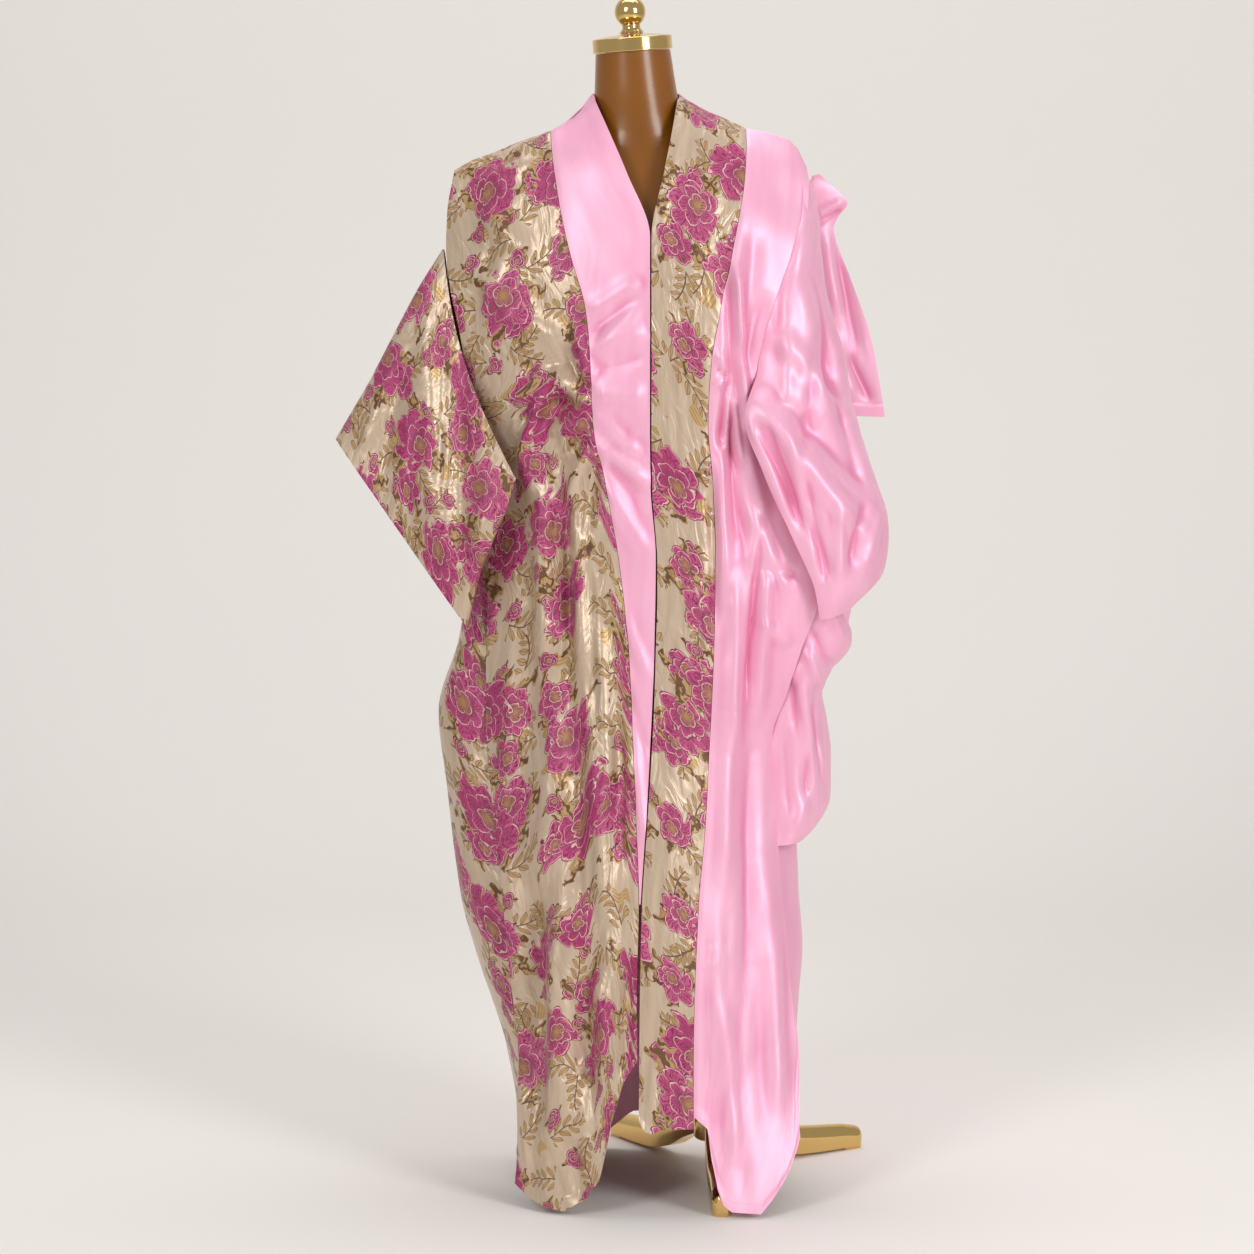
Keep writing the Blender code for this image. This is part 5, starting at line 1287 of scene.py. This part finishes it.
def place_crumple(tree, cloth_map, scale, ridge):
    """Soft wrinkles: slow noise with a folded, ridged part, stretched down the cloth."""
    stretch = put(tree, "VectorMath", {0: cloth_map, 1: (1.0, 0.42, 1.0)}, operation="MULTIPLY").outputs[0]
    slow = put(tree, "TexNoise", {"Vector": stretch, "Scale": scale, "Detail": 2.0, "Distortion": 0.4}, noise_dimensions="2D").outputs[0]
    sharp = put(tree, "TexNoise", {"Vector": stretch, "Scale": scale * 1.7, "Detail": 2.0, "Distortion": 0.8}, noise_dimensions="2D").outputs[0]
    folded_noise = calc(tree, "ABSOLUTE", calc(tree, "SUBTRACT", sharp, 0.5))
    return calc(tree, "MULTIPLY_ADD", folded_noise, -ridge * 10.0, slow)


def satin_finish(weave):
    """Pink satin: a warm pink with soft tone, a tight shine, shallow pressed wrinkles and painted shade in its
    troughs.
    """
    finish, tree, shader = new_finish("pink satin", SATIN_PINK)
    cloth_map = put(tree, "UVMap", uv_map="cloth").outputs[0]
    threads = place_group(tree, weave, Cloth=cloth_map, Across=1400.0, Down=300.0, Slub=22.0)
    colour = blend(tree, threads["Tone"], (*SATIN_PINK_DEEP, 1), (*SATIN_PINK, 1))
    tree.links.new(calc(tree, "MULTIPLY_ADD", threads["Height"], 0.06, 0.40), shader.inputs["Roughness"])
    shader.inputs["Metallic"].default_value = 0.22
    fine = put(tree, "Bump", {"Height": threads["Height"], "Strength": 0.10, "Distance": 0.0003}).outputs[0]
    crumple = place_crumple(tree, cloth_map, 11.0, 0.05)
    broad = put(tree, "Bump", {"Height": crumple, "Strength": 0.30, "Distance": 0.005, "Normal": fine}).outputs[0]
    tree.links.new(broad, shader.inputs["Normal"])
    # Painted shade: the colour is blended towards a deeper pink in the troughs of the folds and the hollows of the
    # wrinkle bump
    trough = put(tree, "Attribute", attribute_name="painted_trough_shade").outputs["Fac"]
    # Painted shade in the hollows of the wrinkle bump: the lower the crumple height, the deeper the pink
    wrinkle_shade = calc(tree, "MULTIPLY_ADD", crumple, -0.5, 0.30)
    shade = blend(tree, calc(tree, "MULTIPLY_ADD", trough, 0.55, wrinkle_shade), colour, (*SATIN_PAINTED_SHADE, 1))
    tree.links.new(shade, shader.inputs["Base Color"])
    shader.inputs["Sheen Weight"].default_value = 0.12
    shader.inputs["Sheen Roughness"].default_value = 0.35
    shader.inputs["Specular IOR Level"].default_value = 0.8
    return finish


def form_finish():
    """Glossy brown lacquer, a little cloudy, with faint specks and slow waves in its surface."""
    finish, tree, shader = new_finish("brown lacquer", FORM_BROWN)
    place = put(tree, "TexCoord").outputs["Object"]
    cloud = put(tree, "TexNoise", {"Vector": place, "Scale": 9.0, "Detail": 3.0}).outputs[0]
    specks = put(tree, "TexNoise", {"Vector": place, "Scale": 420.0, "Detail": 1.0}).outputs[0]
    colour = blend(tree, cloud, (*FORM_BROWN_DEEP, 1), (*FORM_BROWN, 1))
    tree.links.new(colour, shader.inputs["Base Color"])
    tree.links.new(calc(tree, "MULTIPLY_ADD", cloud, 0.10, 0.24), shader.inputs["Roughness"])
    bump = put(tree, "Bump", {"Height": calc(tree, "MULTIPLY_ADD", specks, 0.05, cloud), "Strength": 0.12, "Distance": 0.002})
    tree.links.new(bump.outputs[0], shader.inputs["Normal"])
    shader.inputs["Coat Weight"].default_value = 0.12
    shader.inputs["Coat Roughness"].default_value = 0.12
    return finish


def gold_finish():
    """Polished brass-gold with faint turning marks and slightly duller patches."""
    finish, tree, shader = new_finish("polished gold", GOLD_TONE)
    place = put(tree, "TexCoord").outputs["Object"]
    patches = put(tree, "TexNoise", {"Vector": place, "Scale": 14.0, "Detail": 4.0}).outputs[0]
    marks = put(tree, "VectorMath", {0: place, 1: (20.0, 20.0, 900.0)}, operation="MULTIPLY").outputs[0]
    fine = put(tree, "TexNoise", {"Vector": marks, "Scale": 1.0, "Detail": 1.0}).outputs[0]
    tree.links.new(blend(tree, patches, (*GOLD_DEEP, 1), (*GOLD_TONE, 1)), shader.inputs["Base Color"])
    tree.links.new(calc(tree, "MULTIPLY_ADD", patches, 0.14, 0.06), shader.inputs["Roughness"])
    bump = put(tree, "Bump", {"Height": fine, "Strength": 0.05, "Distance": 0.0003})
    tree.links.new(bump.outputs[0], shader.inputs["Normal"])
    shader.inputs["Metallic"].default_value = 1.0
    return finish


GROUND = (0.67, 0.525, 0.39)
GROUND_DEEP = (0.47, 0.345, 0.245)
GROUND_PALE = (0.84, 0.71, 0.53)
LEAF = (0.35, 0.195, 0.070)
LEAF_PALE = (0.54, 0.36, 0.16)
LEAF_DEEP = (0.14, 0.060, 0.022)
PETAL = (0.54, 0.042, 0.195)
PETAL_ROSE = (0.72, 0.140, 0.31)
PETAL_SHADE = (0.22, 0.010, 0.075)
PETAL_DEEP = (0.19, 0.010, 0.075)
SATIN_PINK = (0.93, 0.50, 0.675)
SATIN_PINK_DEEP = (0.89, 0.41, 0.59)
# A deeper pink painted as shade into the satin's troughs and wrinkle hollows
SATIN_PAINTED_SHADE = (0.78, 0.20, 0.40)
FORM_BROWN = (0.28, 0.100, 0.006)
FORM_BROWN_DEEP = (0.21, 0.068, 0.004)
GOLD_TONE = (0.83, 0.60, 0.25)
GOLD_DEEP = (0.72, 0.48, 0.17)
STITCH_SHADE = (0.70, 0.30, 0.45)

weave = weave_group()
brocade = brocade_finish(weave)
satin = satin_finish(weave)
lacquer = form_finish()
gold = gold_finish()


# Garment


def garment():
    """Every cloth piece: the part's own rows and folds, the finer creases, seams rolled in and hems turned."""
    made = {}
    all_brocade = BROCADE_FRONT_FOLDS + SATIN_BAND_FOLDS
    all_brocade += deeper(BUST_CREASES, 2.0) + deeper(BROCADE_SKIRT_CREASES, 1.7) + deeper(SATIN_BAND_CREASES, 1.3)
    all_satin = SATIN_FRONT_FOLDS + deeper(SATIN_FRONT_CREASES, 1.4) + PRESSED_CREASES

    front = front_grid(RIGHT_FRONT, BROCADE_FRONT_HEM, 96, "panel", all_brocade)
    front = clear_of_form(moved_out(front, small_waves(front, 3, 0.10, 0.0009)))
    front = hem_band(seam_dip(front, 0), 0.016)
    made["brocade_front"] = cloth("brocade_front_cloth", front, brocade, ["brocade_front"])

    band = front_grid(RIGHT_FRONT, SATIN_BAND_HEM, 30, "band", all_brocade)
    band = clear_of_form(moved_out(band, small_waves(band, 3, 0.10, 0.0009)))
    made["satin_band"] = cloth("satin_band_cloth", seam_dip(band, -1), satin, ["satin_band"], start=(2.0, 0.3))

    front = front_grid(LEFT_FRONT, SATIN_FRONT_HEM, 72, "panel", all_satin)
    front = clear_of_form(moved_out(front, small_waves(front, 4, 0.10, 0.0009)))
    front = hem_band(seam_dip(front, 0), 0.014)
    made["satin_front"] = cloth("satin_front_cloth", front, satin, ["satin_front"])
    line, facing = line_above_hem(front, 0.0135)
    made["hem_thread"] = stitches("satin_hem_stitches", line, facing, 0.0034, 0.0026, 0.00035, satin)

    laid_on = front
    band = front_grid(LEFT_FRONT, BROCADE_BAND_HEM, 36, "band", all_satin)
    band = clear_of_form(moved_out(band, small_waves(band, 4, 0.10, 0.0009)))
    band = hem_band(seam_dip(band, -1), 0.012)
    made["brocade_band"] = cloth("brocade_band_cloth", band, brocade, ["brocade_band"], start=(1.37, 0.21))

    for name, table, hem, finish, slot, start in (
        ("brocade_back", BROCADE_BACK, BROCADE_BACK_HEM, brocade, "brocade", (3.1, 0.4)),
        ("satin_back", SATIN_BACK, SATIN_BACK_HEM, satin, "satin", (4.2, 0.1)),
    ):
        back = back_grid(table, hem, 110)
        back = clear_of_form(moved_out(back, small_waves(back, 5, 0.11, 0.0009) * np.clip(arcs(back, 1) / 0.02, 0, 1)))
        made[name] = cloth(name + "_cloth", hem_band(back, 0.016), finish, [name], start=start)

    made["brocade_sleeve"] = cloth("brocade_sleeve_cloth", sleeve_grid(), brocade, ["brocade_sleeve"], closed=True, start=(5.3, 0.2))

    drape = drape_grid(SATIN_DRAPE, 190, 130, DRAPE_FOLDS)
    away = arcs(drape, 1)
    inner = np.clip(away / 0.012, 0, 1)
    drape = moved_out(drape, 1.2 * fold_heights(drape, WING_CREASES) * inner + small_waves(drape, 6, 0.08, 0.0010) * inner)
    above = np.clip((drape[:, :1, 2] - 1.10) / 0.05, 0, 1)
    lap = np.exp(-((away / 0.020) ** 2)) * above
    drape[..., 0] -= 0.010 * lap
    drape[..., 1] += lap * (depth_of(laid_on, drape[:, 0]) - 0.0019 - drape[:, 0, 1])[:, None]
    thin = 1 - 0.8 * np.exp(-((away / 0.008) ** 2)) * above
    made["satin_drape"] = cloth("satin_drape_cloth", drape, satin, ["satin_drape"], start=(6.1, 0.2), share=thin)

    fall = drape_grid(SATIN_FALL, 110, 90, FALL_FOLDS)
    inner = np.clip(arcs(fall, 1) / 0.012, 0, 1)
    fall = moved_out(fall, fold_heights(fall, FALL_CREASES) * inner + small_waves(fall, 7, 0.07, 0.0008) * inner)
    made["satin_fall"] = cloth("satin_fall_cloth", fall, satin, ["satin_fall"], start=(7.1, 0.2))

    flap = hem_band(drape_grid(SATIN_SLEEVE, 120, 60, FLAP_CREASES), 0.020)
    made["satin_sleeve"] = cloth("satin_sleeve_cloth", flap, satin, ["satin_sleeve"], start=(8.1, 0.2))
    line, facing = line_above_hem(flap, 0.0195)
    toward = np.where(facing[:, 1:2] > 0, -1.0, 1.0)
    made["cuff_thread"] = stitches("cuff_stitches", line + facing * (toward - 1) * WALL / 2, facing * toward, 0.0034, 0.0026, 0.00035, satin)

    made["neck_band"] = cloth("neck_band_cloth", neck_band_grid(60, 16), satin, ["neck_band"], start=(9.1, 0.2))
    return made


def stand():
    """The form, its cap and finial, and the stand, each from the part's own sections with more points."""
    turn = np.arange(96) * 2 * math.pi / 96
    level, wide, deep, shift = (column[:, None] for column in FORM_CURVE[np.r_[0:596:4, 599]].T)
    tilt = -POLE_LEAN * np.clip((level - NECK_TILT_FROM) / (FORM_TOP - NECK_TILT_FROM), 0, 1)
    x, y = wide * np.cos(turn), shift + deep * np.sin(turn)
    lofted("dress_form_skin", np.stack([pole_x(level) + x, y, level + tilt * x], -1), lacquer, ["dress_form"])

    lean = math.atan(POLE_LEAN)
    base = FORM_TOP + CAP_GAP
    profile = [
        (CAP_RADIUS, 0.0),
        (CAP_RADIUS, CAP_HEIGHT),
        (CAP_RADIUS - 0.004, CAP_HEIGHT + 0.0008),
        (CAP_RADIUS * 0.62, CAP_HEIGHT + 0.0035),
        (0.017, CAP_HEIGHT + 0.0048),
    ]
    lofted("gold_cap", turned(profile, 120, (pole_x(base), 0, base), lean), gold, ["neck_cap"], 0.0012)

    base = FORM_TOP + CAP_GAP + CAP_HEIGHT + 0.0048 + 0.0004
    ball = [(BALL_RADIUS * math.sin(a), BALL_CENTRE - BALL_RADIUS * math.cos(a)) for a in np.radians(np.arange(36, 180, 5))]
    profile = [(0.0152, 0.0), (0.0164, 0.0015), (0.0150, 0.0042), (0.0128, 0.0062), (0.0122, 0.0090), (0.0126, 0.0118)]
    lofted("gold_finial", turned(profile + ball, 80, (pole_x(base), 0, base), lean), gold, ["finial"], 0.0)

    bottom = HUB_TOP + 0.0014
    length = (FORM_BOTTOM - 0.0021 - bottom) / math.cos(lean)
    profile = [(COLUMN_RADIUS, 0.0), (COLUMN_RADIUS, length - 0.030), (0.024, length - 0.024), (0.024, length)]
    lofted("gold_column", turned(profile, 64, (pole_x(bottom), 0, bottom), lean), gold, ["stand_column"], 0.0012)
    profile = [
        (HUB_RADIUS - 0.004, HUB_BOTTOM),
        (HUB_RADIUS, HUB_BOTTOM + 0.004),
        (HUB_RADIUS, HUB_TOP - 0.018),
        (HUB_RADIUS * 0.7, HUB_TOP - 0.006),
        (HUB_RADIUS * 0.6, HUB_TOP),
    ]
    lofted("gold_hub", turned(profile, 80, (pole_x(0.0), 0, 0)), gold, ["stand_hub"], 0.0015)
    for name, heading in LEG_TURNS:
        lofted("gold_" + name, leg_rings(math.radians(heading)), gold, [name], 0.0012)


LEG_COLUMNS = ("out", "low", "side", "top", "half")
LEG_STATIONS = (
    (HUB_RADIUS + 0.0006, 0.050, 0.076, 0.088, 0.0120),
    (0.060, 0.036, 0.062, 0.077, 0.0135),
    (0.100, 0.016, 0.042, 0.060, 0.0145),
    (0.150, 0.005, 0.025, 0.0445, 0.015),
    (0.205, 0.003, 0.0195, 0.0385, 0.015),
    (0.226, 0.003, 0.0185, 0.0365, 0.015),
    (0.2264, 0.000, 0.0185, 0.0365, 0.015),
    (LEG_LENGTH - 0.013, 0.000, 0.0165, 0.0325, 0.015),
    (LEG_LENGTH - 0.004, 0.000, 0.0160, 0.0300, 0.0125),
    (LEG_LENGTH, 0.000, 0.0150, 0.0255, 0.0085),
)


def leg_rings(heading):
    """Rings of a leg: flat below, straight at the sides and an arch on top, from the hub out to the toe."""
    places = np.linspace(0, len(LEG_STATIONS) - 1, 82)
    row = dict(zip(LEG_COLUMNS, smooth_columns(LEG_STATIONS, places).T[:, :, None]))
    arc = np.radians(np.linspace(0, 180, 25))[None, :]
    ones = np.ones((len(places), 1))
    across = np.concatenate([row["half"] * 0.86, row["half"] * np.cos(arc), -row["half"] * 0.86], axis=1)
    level = np.concatenate([row["low"], row["side"] + (row["top"] - row["side"]) * np.sin(arc), row["low"]], axis=1)
    out = row["out"] * ones * np.ones_like(across)
    x = out * math.cos(heading) - across * math.sin(heading) + pole_x(0.0)
    y = out * math.sin(heading) + across * math.cos(heading)
    return np.stack([x, y, level], axis=-1)


made = garment()
stand()


# Stage, lights and camera


def plain_finish(name, colour, rough):
    finish, tree, shader = new_finish(name, colour)
    place = put(tree, "TexCoord").outputs["Object"]
    tone = put(tree, "TexNoise", {"Vector": place, "Scale": 1.5, "Detail": 2.0}).outputs[0]
    deeper = tuple(c * 0.985 for c in colour)
    tree.links.new(blend(tree, tone, (*deeper, 1), (*colour, 1)), shader.inputs["Base Color"])
    shader.inputs["Roughness"].default_value = rough
    return finish


def seen_through_from_behind(finish):
    """Only the lit side of the wall shows, so that a view from behind it still sees the garment."""
    tree = finish.node_tree
    behind = put(tree, "NewGeometry").outputs["Backfacing"]
    clear = put(tree, "BsdfTransparent").outputs[0]
    paper = tree.nodes["Principled BSDF"].outputs[0]
    shown = put(tree, "MixShader", {0: behind, 1: paper, 2: clear}).outputs[0]
    tree.links.new(shown, tree.nodes["Material Output"].inputs["Surface"])
    return finish


def backdrop():
    """A pale floor that curves up into a wall: a profile carried sideways."""
    turn = np.radians(np.linspace(-90, 0, 20))
    wall_y, bend = 3.4, 1.4
    y = np.concatenate([[-9.0], wall_y - bend + bend * np.cos(turn), [wall_y]])
    z = np.concatenate([[0.0], bend + bend * np.sin(turn), [6.0]])
    x = np.array([-9.0, 9.0])
    points = np.stack([np.repeat(x, len(y)), np.tile(y, 2), np.tile(z, 2)], axis=-1)
    near = np.arange(len(y) - 1)
    faces = np.stack([near, near + len(y), near + len(y) + 1, near + 1], axis=-1)
    mesh = bpy.data.meshes.new("studio_sweep")
    mesh.from_pydata(points.tolist(), [], faces.tolist())
    paper = plain_finish("studio paper", (0.86, 0.835, 0.805), 0.8)
    mesh.materials.append(seen_through_from_behind(paper))
    mesh.shade_smooth()
    item = bpy.data.objects.new("studio_sweep", mesh)
    bpy.context.scene.collection.objects.link(item)


def area_light(name, at, look_at, size, power, colour=(1.0, 1.0, 1.0)):
    lamp = bpy.data.lights.new(name, "AREA")
    lamp.shape = "RECTANGLE"
    lamp.size, lamp.size_y = size
    lamp.energy = power
    lamp.color = colour
    item = bpy.data.objects.new(name, lamp)
    bpy.context.scene.collection.objects.link(item)
    way = Vector(look_at) - Vector(at)
    item.location = at
    item.rotation_euler = way.to_track_quat("-Z", "Y").to_euler()


def studio():
    backdrop()
    area_light("key", (-2.3, -3.6, 2.9), (0.0, 0.0, 0.95), (1.2, 1.8), 62, (1.0, 0.98, 0.955))
    area_light("fill", (2.7, -3.2, 2.3), (0.0, 0.0, 0.9), (1.2, 2.2), 80, (1.0, 0.985, 0.97))
    area_light("top", (0.1, 0.5, 3.6), (0.0, 0.1, 0.8), (1.6, 1.6), 22)
    area_light("wall wash", (0.0, 0.9, 5.2), (0.0, 3.4, 0.6), (6.0, 1.2), 40)
    world = bpy.data.worlds.new("pale room")
    world.use_nodes = True
    world.node_tree.nodes["Background"].inputs["Color"].default_value = (1.0, 0.985, 0.97, 1.0)
    world.node_tree.nodes["Background"].inputs["Strength"].default_value = 0.42
    bpy.context.scene.world = world
    camera = bpy.data.cameras.new("photo view")
    camera.sensor_width = 36.0
    camera.lens = 36.0 * CAMERA_FOCUS_PX / PHOTO_PX
    item = bpy.data.objects.new("photo view", camera)
    item.location = np.array(CAMERA_PLACE) + PLACE
    item.rotation_euler = (math.radians(90.0 - CAMERA_TILT), 0.0, 0.0)
    bpy.context.scene.collection.objects.link(item)
    bpy.context.scene.camera = item
    bpy.context.scene.view_settings.view_transform = "Standard"


PHOTO_PX = 1254
CAMERA_FOCUS_PX = 4350
CAMERA_TILT = 7.1
CAMERA_PLACE = (-0.032, -6.0, 1.52)
studio()
